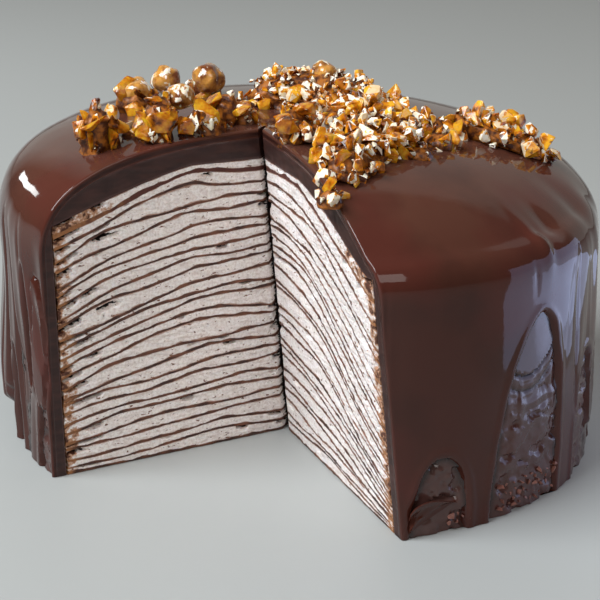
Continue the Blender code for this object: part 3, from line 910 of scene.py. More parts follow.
def left_grooves(points, bearing):
    """Depth of the grooves between the runs at the left, which fade out on the shoulder."""
    deep = np.zeros(bearing.shape)
    share = points[..., 2] / SHOULDER_HEIGHT
    for foot, top, half_width, depth in LEFT_GROOVES:
        middle = np.radians(foot + (top - foot) * share)
        aside = (bearing - middle) * BASE_RADIUS / half_width
        deep += depth * np.exp(-aside ** 2) * (1.0 - ramp(points[..., 2], 0.066, 0.090))
    return deep


# %% Thickness of the glaze
def glaze_thickness(points, bearing):
    """Thickness of the glaze on the shoulder and side; negative where it dives into the coat."""
    height = points[..., 2]
    wobble = 0.0006 * noise(points, 0.009, 40)
    distance = glaze_distance(bearing, height) + wobble
    sheet = SHEET + 0.0004 * ramp(height, 0.0, SHOULDER_HEIGHT)
    lip = np.where(distance > 0, sheet * np.tanh(LIP_SLOPE * distance / sheet), LIP_SLOPE * distance)
    bead = BEAD * np.exp(-((distance - 0.0020) / 0.0014) ** 2)
    from_front = ramp(np.abs(np.degrees(bearing) - SMOOTH_FRONT), *SMOOTH_REACH)
    swells = SWELL * (0.08 + 0.92 * from_front) * noise(points, (0.0085, 0.0085, 0.050), 41)
    swells *= 1.0 - 0.85 * ramp(height, 0.078, 0.092)
    between_runs = np.abs(noise(points, (0.0150, 0.0150, 0.110), 44))
    grooves = GROOVE * from_front * np.exp(-(between_runs / 0.11) ** 2)
    grooves *= 1.0 - ramp(height, 0.076, 0.092)
    away = ramp(distance, 0.0, 0.004)
    aside = (bearing - RIBBON_BEARING) * BASE_RADIUS
    spots = np.stack((aside + ribbon_bend(height), height), axis=-1)
    ribbon = distance_to_outline(spots, slot_outline(*RIBBON))
    raised = RIBBON_RISE * ramp(-ribbon, 0.0, 0.0006) - 0.0006 * np.exp(-((ribbon - 0.0004) / 0.0004) ** 2)
    raised += left_run(points, bearing) * away
    thick = lip + bead + (swells - grooves) * away + raised
    grooved = np.maximum(thick - left_grooves(points, bearing), LEAST_GLAZE)
    return np.maximum(np.where(thick > LEAST_GLAZE, grooved, thick), -DIVE)


# %% Dents, waves and the cut's edge
# Shallow dents: bearing in degrees, height, half width, half height and depth, negative for a ridge.
DENTS = (
    (55.0, 0.0990, 0.0045, 0.0050, 0.00090),
    (69.0, 0.0980, 0.0070, 0.0070, 0.00100),
    (48.6, 0.0935, 0.0027, 0.0085, -0.00085),
    (44.8, 0.0830, 0.0011, 0.0036, 0.00040),
    (80.0, 0.0930, 0.0080, 0.0080, 0.00060),
)


def dents(points):
    """How deep the dents are at points of the shoulder."""
    bearing = np.degrees(np.arctan2(points[..., 0], -points[..., 1]))
    deep = np.zeros(bearing.shape)
    for centre, height, half_width, half_height, depth in DENTS:
        aside = np.radians(bearing - centre) * RIM_RADIUS / half_width
        above = (points[..., 2] - height) / half_height
        deep += depth * np.exp(-(aside ** 2 + above ** 2))
    return deep


def cut_edge(points):
    """How much lower the glaze lies beside the cut, where the knife rounded its edge."""
    near = np.clip(1.0 - from_cut(points) / CUT_ROUNDING, 0.0, 1.0)
    return CUT_ROUNDING * (1.0 - np.sqrt(1.0 - 0.98 * near ** 2))


def top_waves(points):
    """How deep the glaze's outside lies under the cake's outside on the top."""
    waves = 0.00022 * noise(points, 0.030, 42) + 0.00005 * noise(points, 0.009, 43)
    return np.maximum(0.00030 + waves, 0.0)


# %% Make the glaze
def glaze_piece(material):
    shell = Shell("cut")
    skin = Skin(Outline(fine_round(), CUT_STEP), DISC_RINGS, SHOULDER_ROWS, SIDE_ROWS)
    disc = skin.disc(np.zeros(skin.disc_shape))
    disc_inset = top_waves(disc) + cut_edge(disc)
    strip = skin.strip(np.zeros(skin.strip_shape))
    bearing = np.arctan2(strip[..., 0], -strip[..., 1])
    side = GLAZE_SIDE - glaze_thickness(strip, bearing)
    upwards = ramp(strip[..., 2], 0.0, SHOULDER_HEIGHT)
    least = LEAST_INSET_FOOT + (LEAST_INSET_RIM - LEAST_INSET_FOOT) * upwards
    least -= 0.75 * left_run(strip, bearing)
    strip_inset = skin.blend(top_waves(strip), np.maximum(side, least)) + cut_edge(strip) + dents(strip)
    strip_inset[0] = disc_inset[0, skin.outline.rim_part]
    outside = add_skin(shell, skin, skin.disc(disc_inset), skin.strip(strip_inset))

    hidden = Skin(Outline(COARSE_ROUND, CUT_STEP), (1.0, 0.8, 0.4, 0.0), SHOULDER_ROWS, SIDE_ROWS)
    away = (COARSE_ROUND > 0.0) & (COARSE_ROUND < 1.0)
    disc_inset = np.full(hidden.disc_shape, GLAZE_TOP)
    disc_inset[1:] += SUNK
    disc_inset[0, hidden.outline.rim_part] += SUNK * away
    strip_inset = hidden.blend(GLAZE_TOP, GLAZE_SIDE) + SUNK * away
    inside = add_skin(shell, hidden, hidden.disc(disc_inset), hidden.strip(strip_inset))
    normals = cut_normals(skin)

    def relief(points):
        return normals * (0.00010 * noise(points, 0.0030, 31))[..., None]

    close_skin(shell, outside, inside, (0.33, 0.67), relief, fine_round(), COARSE_ROUND)
    return shell.piece("poured_glaze", material)


# %% [markdown]
# ## Finishes
#
# All finishes are made of noise on the object's own coordinates, so that they stay put on the cake from
# any side and can be baked. Small helpers keep them short: they add a node and fill its inputs, mix two
# colours, stretch a value, and give noise with bumps of a size.

# %% Helpers for materials
def new_material(name, **sockets):
    """A material with its Principled shader's own sockets set."""
    material = bpy.data.materials.new(name)
    material.use_nodes = True
    shader = material.node_tree.nodes["Principled BSDF"]
    for socket, value in sockets.items():
        shader.inputs[socket.replace("_", " ")].default_value = value
    return material, material.node_tree, shader


def fill(tree, made, inputs, settings):
    """Set up a node. An input is a value or another node's output."""
    for name, value in settings.items():
        setattr(made, name, value)
    for name, value in dict(inputs).items():
        if isinstance(value, bpy.types.NodeSocket):
            tree.links.new(value, made.inputs[name])
        else:
            made.inputs[name].default_value = value
    return made


def node(tree, kind, inputs=(), output=0, **settings):
    """Add a shader node and give one of its outputs."""
    return fill(tree, tree.nodes.new("ShaderNode" + kind), inputs, settings).outputs[output]


def mix(tree, share, first, second):
    """Mix two colours by a share."""
    first, second = [(*c, 1.0) if isinstance(c, tuple) else c for c in (first, second)]
    return node(tree, "Mix", {0: share, 6: first, 7: second}, 2, data_type="RGBA")


def between(tree, value, low, high, to_low=0.0, to_high=1.0):
    """Stretch the part of a value from low to high to a new range, and clamp it."""
    inputs = {"Value": value, "From Min": low, "From Max": high, "To Min": to_low, "To Max": to_high}
    return node(tree, "MapRange", inputs)


def grain(tree, size, detail=2.0, stretch=(1.0, 1.0, 1.0), roughness=0.5):
    """Noise on the object's coordinates, with bumps of a size in metres."""
    place = node(tree, "TexCoord", output=3)
    scaled = node(tree, "Mapping", {"Vector": place, "Scale": tuple(1.0 / (size * s) for s in stretch)})
    inputs = {"Vector": scaled, "Scale": 1.0, "Detail": detail, "Roughness": roughness}
    return node(tree, "TexNoise", inputs)


def mark(tree, name):
    """A piece's own mark, as a number."""
    return node(tree, "Attribute", output=2, attribute_name=name)


def bump(tree, height, depth, under=None):
    inputs = {"Height": height, "Distance": depth, "Strength": 1.0}
    if under is not None:
        inputs["Normal"] = under
    return node(tree, "Bump", inputs)


# %% [markdown]
# ## Cream and crepe
#
# Cocoa-tinted whipped cream is a warm grey white, with fine pores and a brown smear wherever the knife
# brought crumb along; a little light goes into it. A cocoa crepe is thin and nearly black in the middle of
# the cake, and turns to tan where its fried edge shows near the rim.

# %% Cream and crepe materials
def cream_material():
    material, tree, shader = new_material("whipped_cream", Roughness=0.62, Subsurface_Weight=0.15,
                                          Subsurface_Scale=0.002, Subsurface_Radius=(1.0, 0.6, 0.4),
                                          Specular_IOR_Level=0.35)
    pores = grain(tree, 0.0009, 3.0, roughness=0.65)
    drag = grain(tree, 0.0035, 2.0, (2.2, 2.2, 0.35))
    colour = mix(tree, between(tree, pores, 0.36, 0.58), (0.76, 0.665, 0.625), (0.93, 0.865, 0.835))
    colour = mix(tree, between(tree, drag, 0.54, 0.74, 0.0, 0.45), colour, (0.50, 0.39, 0.34))
    crumb = between(tree, grain(tree, 0.0013, 2.0, (1.6, 1.6, 0.8)), 0.65, 0.71)
    colour = mix(tree, crumb, colour, (0.20, 0.095, 0.060))
    fringe = node(tree, "Math", {0: mark(tree, "edge"), 1: grain(tree, 0.0040, 3.0, (1.5, 1.5, 0.5))},
                  operation="MULTIPLY")
    colour = mix(tree, between(tree, fringe, 0.28, 0.48, 0.0, 0.85), colour, (0.30, 0.125, 0.065))
    stain = node(tree, "Math", {0: mark(tree, "rim"), 1: grain(tree, 0.0028, 3.0, roughness=0.6)},
                 operation="MULTIPLY")
    colour = mix(tree, between(tree, stain, 0.36, 0.46, 0.0, 0.9), colour, (0.42, 0.190, 0.080))
    colour = mix(tree, between(tree, stain, 0.48, 0.56), colour, (0.085, 0.028, 0.014))
    # Painted shade: where the mark for tears, holes and the knife's slot is set, the cream is painted
    # nearly black, as the shade in them.
    shade_in_tears = node(tree, "Math", {0: mark(tree, "torn"), 1: grain(tree, 0.0013, 3.0, (2.0, 2.0, 0.5))},
                  operation="ADD")
    colour = mix(tree, between(tree, shade_in_tears, 0.88, 0.96), colour, (0.010, 0.005, 0.004))
    tree.links.new(colour, shader.inputs["Base Color"])
    tree.links.new(bump(tree, pores, 0.00050, bump(tree, drag, 0.0006)), shader.inputs["Normal"])
    return material


def crepe_material():
    material, tree, shader = new_material("cocoa_crepe", Roughness=0.55, Specular_IOR_Level=0.4)
    patches = grain(tree, 0.0040, 3.0, (1.5, 1.5, 0.6))
    colour = mix(tree, between(tree, patches, 0.40, 0.66), (0.048, 0.0175, 0.0115), (0.175, 0.065, 0.035))
    colour = mix(tree, between(tree, mark(tree, "layer"), 0.94, 0.95), colour, (0.085, 0.022, 0.014))
    fried = node(tree, "Math", {0: mark(tree, "rim"), 1: grain(tree, 0.0040, 3.0)}, operation="MULTIPLY")
    colour = mix(tree, between(tree, fried, 0.25, 0.48), colour, (0.30, 0.125, 0.045))
    # Painted shade: the crepe is painted nearly black in the knife's slot, as the shade inside it.
    colour = mix(tree, mark(tree, "torn"), colour, (0.010, 0.005, 0.004))
    tree.links.new(colour, shader.inputs["Base Color"])
    tree.links.new(bump(tree, grain(tree, 0.0010, 3.0), 0.0003), shader.inputs["Normal"])
    return material


# %% [markdown]
# ## Chocolate
#
# The glaze is smooth and glossy, a red brown that reads nearly black where nothing bright is mirrored in
# it. The ganache under it is the same chocolate, less shiny because it was spread and not poured. On the
# cut both are dull and a little paler.

# %% Chocolate materials
def chocolate(name, shine, gloss, side, top, fine, depth):
    """Chocolate in one colour on the side and another on the top; a lighter top is painted light, for the
    stronger light from above.
    """
    material, tree, shader = new_material(name, IOR=1.5, Specular_IOR_Level=shine)
    rise = node(tree, "SeparateXYZ", {0: node(tree, "TexCoord", output=3)}, 2)
    # Painted light: for the glaze the top's colour is lighter than the side's, standing in for the stronger
    # light from above.
    colour = mix(tree, between(tree, rise, 0.078, 0.106), side, top)
    clouds = grain(tree, 0.022, 3.0)
    colour = mix(tree, between(tree, clouds, 0.46, 0.70, 0.0, 0.35), colour, (0.024, 0.0080, 0.0060))
    red = between(tree, grain(tree, 0.030, 2.0), 0.48, 0.66, 0.0, 0.5)
    colour = mix(tree, red, colour, (0.080, 0.0160, 0.0115))
    # Painted shade: the mark "deep" darkens the colour nearly to black next to the glaze's lips and in the
    # coat's creases.
    deep = between(tree, mark(tree, "deep"), 0.0, 1.0, 0.0, 0.9)
    colour = mix(tree, deep, colour, (0.010, 0.0040, 0.0032))
    cut = mark(tree, "cut")
    smears = between(tree, grain(tree, 0.0045, 3.0, (1.8, 1.8, 0.5)), 0.40, 0.65)
    cut_colour = mix(tree, smears, (0.021, 0.0045, 0.0028), (0.044, 0.0125, 0.0085))
    colour = mix(tree, cut, colour, cut_colour)
    tree.links.new(colour, shader.inputs["Base Color"])
    dull = between(tree, grain(tree, 0.0060, 2.0), 0.35, 0.70, gloss, gloss + 0.05)
    rough = between(tree, cut, 0.0, 1.0, 0.0, 0.42)
    tree.links.new(node(tree, "Math", {0: dull, 1: rough}, operation="ADD"), shader.inputs["Roughness"])
    tree.links.new(bump(tree, grain(tree, fine, 3.0), depth), shader.inputs["Normal"])
    return material


def glaze_material():
    # The top's brown is painted lighter than the side's, for the stronger light from above.
    return chocolate("chocolate_glaze", 0.31, 0.03, (0.054, 0.0155, 0.0102), (0.086, 0.0320, 0.0205),
                     0.0060, 0.00004)


def coat_material():
    brown = (0.074, 0.0350, 0.0300)
    return chocolate("ganache_coat", 0.48, 0.12, brown, brown, 0.0014, 0.00003)


# %% Make the layers, the coat and the glaze
crepes, cream = layer_pieces(crepe_material(), cream_material())
coat = coat_piece(coat_material())
glaze = glaze_piece(glaze_material())
LAYER_NUMBERS = range(1, LAYER_PAIRS + 1)
for piece, slot, nodes in ((crepes, "crepe", [f"crepe_{number:02d}" for number in LAYER_NUMBERS]),
                           (cream, "whipped_cream", [f"cream_{number:02d}" for number in LAYER_NUMBERS]),
                           (coat, "ganache_coat", ["undercoat"]),
                           (glaze, "chocolate_glaze", ["glaze"])):
    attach(piece, "root")
    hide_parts(*nodes)


# %% [markdown]
# ## Broken nuts and caramel
#
# Praline is nuts in hardened caramel, smashed into bits. A broken bit is a flat-sided lump, so a convex
# hull round a few random corners gives its form, and a narrow bevel gives its edges their glint. Each
# kind has a few variants. A mark on each face says whether the nut is bare there or still has caramel.

# %% Variants of the bits
BIT_RADII = (0.42, 0.55)       # how far from the middle a bit's corners lie
BIT_BEVEL = 0.024
FLAT = math.radians(12)        # faces that meet at less than this become one


def mesh_from(build, name):
    """The mesh that has been built."""
    mesh = bpy.data.meshes.new(name)
    build.to_mesh(mesh)
    build.free()
    return mesh


def broken_bit(name, seed, corners, lengths, bare_share):
    """A small convex lump about one unit across, with flat sides and narrow bevels."""
    dice = random.Random(seed)
    build = bmesh.new()
    for _ in range(corners):
        corner = Vector([dice.gauss(0.0, 1.0) for _ in range(3)]).normalized() * dice.uniform(*BIT_RADII)
        build.verts.new([c * length for c, length in zip(corner, lengths)])
    hull = bmesh.ops.convex_hull(build, input=build.verts)
    loose = [thing for thing in hull["geom_interior"] if isinstance(thing, bmesh.types.BMVert)]
    bmesh.ops.delete(build, geom=loose, context="VERTS")
    bare = build.faces.layers.float.new("bare")
    bmesh.ops.dissolve_limit(build, angle_limit=FLAT, verts=build.verts, edges=build.edges)
    for face in build.faces:
        face[bare] = 1.0 if dice.random() < bare_share else 0.0
    bmesh.ops.bevel(build, geom=build.edges, offset=BIT_BEVEL, segments=1, affect="EDGES",
                    clamp_overlap=True)
    bmesh.ops.triangulate(build, faces=build.faces)
    return bpy.data.objects.new(name, mesh_from(build, name))


def variants(name, count, corners, lengths, bare_share):
    """A collection of variants of one kind of bit."""
    collection = bpy.data.collections.new(name)
    for number in range(count):
        collection.objects.link(broken_bit(f"{name}_{number}", number + 100, corners, lengths, bare_share))
    faces = [len(thing.data.polygons) for thing in collection.objects]
    print(name + ":", count, "variants of", min(faces), "to", max(faces), "triangles")
    return collection


NUTS = variants("chopped_nut", 12, 10, (1.0, 0.88, 0.76), 0.62)
SHARDS = variants("caramel_shard", 6, 10, (1.1, 0.9, 0.55), 0.0)

# %% [markdown]
# ## The heaps' cores
#
# Under the loose bits of a heap there is more of the same, stuck together, which nobody sees. The solid
# lumps of the model stand for it: a copy of each, a little smaller, its surface broken up by noise, carries
# the bits and closes the gaps between them. Some smaller mounds lie between the heaps, where bits rolled.

# %% Cores made from the solid lumps
PRALINE_NODES = [name for name in frame["nodes"] if name.startswith("praline")]
HEAP_SHRINK = 0.0034           # how far a heap's core lies inside the solid heap
LUMP_SHRINK = 0.0019           # and the core of a single lump
CORE_SINK = 0.0008             # how far its underside goes into the glaze
MOUNDS = (                     # x, y, half width, height
    (-0.0065, -0.0415, 0.0062, 0.0100),
    (-0.0015, -0.0310, 0.0055, 0.0085),
    (0.0385, -0.0200, 0.0070, 0.0065),
    (0.0420, -0.0350, 0.0050, 0.0045),
    (0.0350, -0.0480, 0.0045, 0.0035),
    (-0.0265, -0.0100, 0.0050, 0.0060),
    (-0.0240, -0.0220, 0.0042, 0.0045),
    (-0.0420, -0.0320, 0.0040, 0.0050),
    (-0.0618, -0.0360, 0.0030, 0.0030),
    (-0.0540, -0.0180, 0.0045, 0.0040),
    (0.0048, -0.0850, 0.0042, 0.0040),
)


def on_top(x, y):
    """The point of the glaze's top that lies at a place in plan."""
    plan = np.array((x, y)) - LEAN
    return Vector(settle(np.array((*plan, crown(np.hypot(*plan))))))


def roughen(build, depth):
    """Push a core's points in and out, and keep its underside flat in the glaze."""
    build.normal_update()
    spots = np.array([vertex.co for vertex in build.verts])
    bumps = 0.0011 * noise(spots, 0.0042, 60) + 0.0005 * noise(spots, 0.0018, 61)
    for vertex, bump_here in zip(build.verts, bumps):
        inwards = -vertex.normal * (depth + bump_here)
        if vertex.normal.z < -0.2:
            inwards.z = 0.0
        vertex.co += inwards


def core_mesh(names, shrink):
    """Smaller copies of solid lumps, as one mesh with a broken surface."""
    build = bmesh.new()
    for name in names:
        build.from_mesh(frame["nodes"][name].data)
    bmesh.ops.remove_doubles(build, verts=build.verts, dist=0.00001)
    bmesh.ops.subdivide_edges(build, edges=build.edges, cuts=1, use_grid_fill=True)
    roughen(build, shrink)
    bmesh.ops.translate(build, vec=(0.0, 0.0, -CORE_SINK), verts=build.verts)
    return mesh_from(build, "praline_core")


def mound_mesh():
    """The small mounds between the heaps, as one mesh."""
    build = bmesh.new()
    for x, y, half_width, height in MOUNDS:
        ball = bmesh.ops.create_icosphere(build, subdivisions=3, radius=1.0)["verts"]
        foot = on_top(x, y)
        for vertex in ball:
            raised = max(vertex.co.z, -0.2) * height - CORE_SINK
            vertex.co = foot + Vector((vertex.co.x * half_width, vertex.co.y * half_width, raised))
    roughen(build, 0.0)
    return mesh_from(build, "mounds")


print("heaps and lumps:", len(PRALINE_NODES), "and small mounds:", len(MOUNDS))

# %% [markdown]
# ## Scatter the bits
#
# Geometry Nodes put a bit on each of many points of a core. The points keep a distance from each other,
# so the bits lie close without all sitting in one place. Every input has a name: the distance, the
# smallest and largest bit, how far they stand off the core, and the seed. The tree ends in real geometry.

# %% A tree that scatters bits over a surface
MOST_POINTS = 4.0e6            # for each square metre, before the distance thins them out
FULL_TURN = 6.28
MORE_SMALL = 1.8               # the higher, the more of the bits are small
MOST_VARIANTS = 100            # the pick goes round and round the variants


def scatter_tree():
    """Bits on the points of a surface, as real geometry with one material and a tint for each bit."""
    tree = bpy.data.node_groups.new("scatter_bits", "GeometryNodeTree")
    face = tree.interface
    face.new_socket("Geometry", in_out="OUTPUT", socket_type="NodeSocketGeometry")
    face.new_socket("Geometry", in_out="INPUT", socket_type="NodeSocketGeometry")
    for name, kind in (("Bits", "Collection"), ("Material", "Material"), ("Distance", "Float"),
                       ("Smallest", "Float"), ("Largest", "Float"), ("Stand off", "Float"),
                       ("Lowest slope", "Float"), ("Ceiling", "Float"), ("Seed", "Int")):
        face.new_socket(name, in_out="INPUT", socket_type="NodeSocket" + kind)

    def add(kind, inputs=(), **settings):
        return fill(tree, tree.nodes.new(kind), inputs, settings)

    given = add("NodeGroupInput").outputs
    normal = add("GeometryNodeInputNormal").outputs[0]
    slope = add("ShaderNodeSeparateXYZ", {0: normal}).outputs[2]
    upwards = add("FunctionNodeCompare", {0: slope, 1: given["Lowest slope"]}, data_type="FLOAT",
                  operation="GREATER_THAN").outputs[0]
    points = add("GeometryNodeDistributePointsOnFaces", distribute_method="POISSON")
    tree.links.new(given["Geometry"], points.inputs["Mesh"])
    tree.links.new(upwards, points.inputs["Selection"])
    tree.links.new(given["Distance"], points.inputs["Distance Min"])
    points.inputs["Density Max"].default_value = MOST_POINTS
    tree.links.new(given["Seed"], points.inputs["Seed"])
    off = add("FunctionNodeRandomValue", {"Seed": given["Seed"]}, data_type="FLOAT").outputs[1]
    off = add("ShaderNodeMath", {0: off, 1: given["Stand off"]}, operation="MULTIPLY").outputs[0]
    lift = add("ShaderNodeVectorMath", {0: points.outputs["Normal"]}, operation="SCALE")
    tree.links.new(off, lift.inputs["Scale"])
    moved = add("GeometryNodeSetPosition", {"Geometry": points.outputs["Points"],
                                            "Offset": lift.outputs[0]})
    height = add("ShaderNodeSeparateXYZ", {0: add("GeometryNodeInputPosition").outputs[0]}).outputs[2]
    too_high = add("FunctionNodeCompare", {0: height, 1: given["Ceiling"]}, data_type="FLOAT",
                   operation="GREATER_THAN").outputs[0]
    moved = add("GeometryNodeDeleteGeometry", {"Geometry": moved.outputs[0], "Selection": too_high})
    bits = add("GeometryNodeCollectionInfo", {"Collection": given["Bits"], "Separate Children": True,
                                              "Reset Children": True}).outputs[0]
    turn = add("FunctionNodeRandomValue", {"Seed": given["Seed"]}, data_type="FLOAT_VECTOR")
    turn.inputs[1].default_value = (FULL_TURN, FULL_TURN, FULL_TURN)
    pick = add("FunctionNodeRandomValue", {"Seed": given["Seed"]}, data_type="INT")
    pick.inputs[4].default_value = 0
    pick.inputs[5].default_value = MOST_VARIANTS
    even = add("FunctionNodeRandomValue", {"Seed": given["Seed"]}, data_type="FLOAT").outputs[1]
    small = add("ShaderNodeMath", {0: even, 1: MORE_SMALL}, operation="POWER").outputs[0]
    size = add("ShaderNodeMapRange", {"Value": small, "To Min": given["Smallest"],
                                      "To Max": given["Largest"]}).outputs[0]
    placed = add("GeometryNodeInstanceOnPoints", {"Points": moved.outputs[0], "Instance": bits,
                                                  "Pick Instance": True, "Instance Index": pick.outputs[2],
                                                  "Rotation": turn.outputs[0], "Scale": size}).outputs[0]
    tint = add("FunctionNodeRandomValue", {"Seed": given["Seed"]}, data_type="FLOAT").outputs[1]
    marked = add("GeometryNodeStoreNamedAttribute", {"Geometry": placed, "Name": "tint", "Value": tint},
                 data_type="FLOAT", domain="INSTANCE").outputs[0]
    real = add("GeometryNodeRealizeInstances", {0: marked}).outputs[0]
    dressed = add("GeometryNodeSetMaterial", {"Geometry": real, "Material": given["Material"]}).outputs[0]
    tree.links.new(dressed, add("NodeGroupOutput").inputs[0])
    return tree


# %% Run the tree on a surface
def scattered(tree, surface, **inputs):
    """Run the tree on a surface and give the mesh that it makes."""
    carrier = bpy.data.objects.new("carrier", surface)
    bpy.context.scene.collection.objects.link(carrier)
    scatter = carrier.modifiers.new("Scatter", "NODES")
    scatter.node_group = tree
    inputs["Ceiling"] = cad_high[2] - 0.55 * inputs["Largest"]
    sockets = {item.name: item.identifier for item in tree.interface.items_tree if item.in_out == "INPUT"}
    for name, value in inputs.items():
        scatter[sockets[name.replace("_", " ")]] = value
    bpy.context.view_layer.update()
    seen = carrier.evaluated_get(bpy.context.evaluated_depsgraph_get())
    mesh = bpy.data.meshes.new_from_object(seen)
    bpy.data.objects.remove(carrier, do_unlink=True)
    return mesh


# %% [markdown]
# ## Finishes of the praline
#
# A bare nut is creamy white and dull, tan towards its skin. Where caramel still covers it, it is amber and
# shiny. Pure caramel is deeper and redder where it is thick, and light goes some way into it.

# %% Nut and caramel materials
def caramel_colour(tree):
    depth = grain(tree, 0.0030, 2.0)
    own = node(tree, "Math", {0: mark(tree, "tint"), 1: 0.30}, operation="MULTIPLY")
    depth = node(tree, "Math", {0: depth, 1: own}, operation="ADD")
    colour = mix(tree, between(tree, depth, 0.53, 0.68), (0.070, 0.014, 0.002), (0.54, 0.160, 0.005))
    return mix(tree, between(tree, depth, 0.68, 0.88), colour, (0.84, 0.42, 0.022))


def caramel_material():
    material, tree, shader = new_material("caramel", Roughness=0.07, Subsurface_Weight=0.40, IOR=1.5,
                                          Subsurface_Scale=0.003, Subsurface_Radius=(1.0, 0.35, 0.08),
                                          Transmission_Weight=0.30)
    tree.links.new(caramel_colour(tree), shader.inputs["Base Color"])
    tree.links.new(bump(tree, grain(tree, 0.0011, 2.0), 0.0002), shader.inputs["Normal"])
    return material


def core_material():
    material, tree, shader = new_material("core_caramel_in_painted_shade", Roughness=0.42, Specular_IOR_Level=0.3)
    # Partly painted shade: the core is caramel, but it is painted much darker than the bits, as the shade
    # in the gaps between them.
    stuck = between(tree, grain(tree, 0.0024, 2.0), 0.42, 0.62)
    colour = mix(tree, stuck, (0.060, 0.015, 0.004), (0.33, 0.105, 0.012))
    tree.links.new(colour, shader.inputs["Base Color"])
    tree.links.new(bump(tree, grain(tree, 0.0016, 3.0), 0.0004), shader.inputs["Normal"])
    return material


def nut_material():
    material, tree, shader = new_material("toasted_nut", Subsurface_Weight=0.12, Subsurface_Scale=0.002,
                                          Subsurface_Radius=(1.0, 0.6, 0.3))
    toasted = between(tree, grain(tree, 0.0022, 3.0), 0.45, 0.70)
    nut = mix(tree, toasted, (0.90, 0.86, 0.73), (0.80, 0.64, 0.38))
    nut = mix(tree, between(tree, mark(tree, "tint"), 0.80, 1.0, 0.0, 0.7), nut, (0.66, 0.40, 0.15))
    patches = between(tree, grain(tree, 0.0026, 2.0), 0.49, 0.56, 0.0, 0.6)
    bare = node(tree, "Math", {0: mark(tree, "bare"), 1: patches}, operation="SUBTRACT", use_clamp=True)
    bare = between(tree, bare, 0.45, 0.60)
    colour = mix(tree, bare, caramel_colour(tree), nut)
    skin = between(tree, grain(tree, 0.0034, 2.0), 0.64, 0.67, 0.0, 0.85)
    colour = mix(tree, skin, colour, (0.13, 0.045, 0.016))
    tree.links.new(colour, shader.inputs["Base Color"])
    tree.links.new(between(tree, bare, 0.0, 1.0, 0.12, 0.50), shader.inputs["Roughness"])
    tree.links.new(bump(tree, grain(tree, 0.0009, 3.0), 0.00018), shader.inputs["Normal"])
    return material


# %% Make the core and choose the bits
def joined(name, meshes, material, sharp):
    """One piece out of several meshes; their places are already in them."""
    build = bmesh.new()
    for mesh in meshes:
        build.from_mesh(mesh)
    return finished(name, mesh_from(build, name), material, sharp)


nut_finish = nut_material()
caramel_finish = caramel_material()
heap_core = core_mesh([name for name in PRALINE_NODES if "heap" in name], HEAP_SHRINK)
lump_core = core_mesh([name for name in PRALINE_NODES if "cluster" in name], LUMP_SHRINK)
mounds = mound_mesh()
praline_core = joined("praline_core", [heap_core, lump_core, mounds], core_material(), 35)

# Surface, distance between bits, smallest and largest bit, how far they stand off, lowest slope.
NUT_RECIPES = (
    (heap_core, 0.0042, 0.0048, 0.0094, 0.0026, -0.35),
    (heap_core, 0.0066, 0.0024, 0.0044, 0.0048, -0.10),
    (heap_core, 0.0034, 0.0028, 0.0048, 0.0008, 0.45),
    (lump_core, 0.0054, 0.0034, 0.0068, 0.0016, -0.45),
    (mounds, 0.0038, 0.0038, 0.0070, 0.0016, -0.35),
)
SHARD_RECIPES = (
    (heap_core, 0.0046, 0.0036, 0.0078, 0.0026, -0.30),
    (lump_core, 0.0056, 0.0060, 0.0110, 0.0010, -0.40),
    (mounds, 0.0046, 0.0036, 0.0072, 0.0012, -0.30),
)


def scatter_all(name, tree, bits, finish, recipes, seed, placed=()):
    """One kind of bit over all the surfaces that have it, as one piece with those placed by hand."""
    meshes = list(placed)
    for surface, distance, smallest, largest, stand_off, slope in recipes:
        seed += 1
        meshes.append(scattered(tree, surface, Bits=bits, Material=finish, Distance=distance,
                                Smallest=smallest, Largest=largest, Stand_off=stand_off,
                                Lowest_slope=slope, Seed=seed))
    return joined(name, meshes, finish, 20)


# %% Set down the large bits
LARGE_CORNERS = 14
# Large bits: x, y, height of the middle over the glaze, size, turn and lean in degrees.
LARGE_SHARDS = (
    (-0.0500, -0.0455, 0.0068, (0.0130, 0.0090, 0.0120), 20.0, 20.0),
    (-0.0570, -0.0445, 0.0050, (0.0090, 0.0080, 0.0085), 70.0, -20.0),
    (-0.0430, -0.0425, 0.0042, (0.0085, 0.0070, 0.0075), -30.0, 20.0),
    (-0.0735, -0.0470, 0.0042, (0.0032, 0.0095, 0.0110), -25.0, 12.0),
    (-0.0668, -0.0475, 0.0038, (0.0034, 0.0090, 0.0100), 35.0, -15.0),
    (-0.0700, -0.0440, 0.0085, (0.0090, 0.0070, 0.0032), 10.0, 15.0),
    (-0.0090, -0.0480, 0.0062, (0.0110, 0.0085, 0.0100), 15.0, 25.0),
    (-0.0025, -0.0420, 0.0100, (0.0090, 0.0080, 0.0065), 60.0, -20.0),
    (0.0035, -0.0600, 0.0060, (0.0090, 0.0075, 0.0060), -20.0, 15.0),
)
LARGE_NUTS = (
    (-0.0388, -0.0420, 0.0048, (0.0078, 0.0062, 0.0088), 25.0, 10.0),
    (-0.0345, -0.0385, 0.0036, (0.0066, 0.0062, 0.0056), -40.0, -15.0),
    (-0.0535, -0.0480, 0.0028, (0.0052, 0.0046, 0.0044), 10.0, 30.0),
    (-0.0020, -0.0495, 0.0040, (0.0064, 0.0056, 0.0062), 70.0, 10.0),
)


def large_bits(name, spots, seed, bare_share, shade):
    """The few large bits that a heap is known by, each set down at its listed place."""
    build = bmesh.new()
    tint = build.verts.layers.float.new("tint")
    for number, (x, y, rise, lengths, turn, lean) in enumerate(spots):
        known = len(build.verts)
        bit = broken_bit(name, seed + number, LARGE_CORNERS, (1.0, 1.0, 1.0), bare_share)
        build.from_mesh(bit.data)
        bpy.data.objects.remove(bit)
        build.verts.ensure_lookup_table()
        place = (Matrix.Translation(on_top(x, y) + Vector((0.0, 0.0, rise)))
                 @ Matrix.Rotation(math.radians(turn), 4, "Z") @ Matrix.Rotation(math.radians(lean), 4, "X")
                 @ Matrix.Diagonal((*lengths, 1.0)))
        for vertex in build.verts[known:]:
            vertex.co = place @ vertex.co
            vertex[tint] = shade
    return mesh_from(build, name)


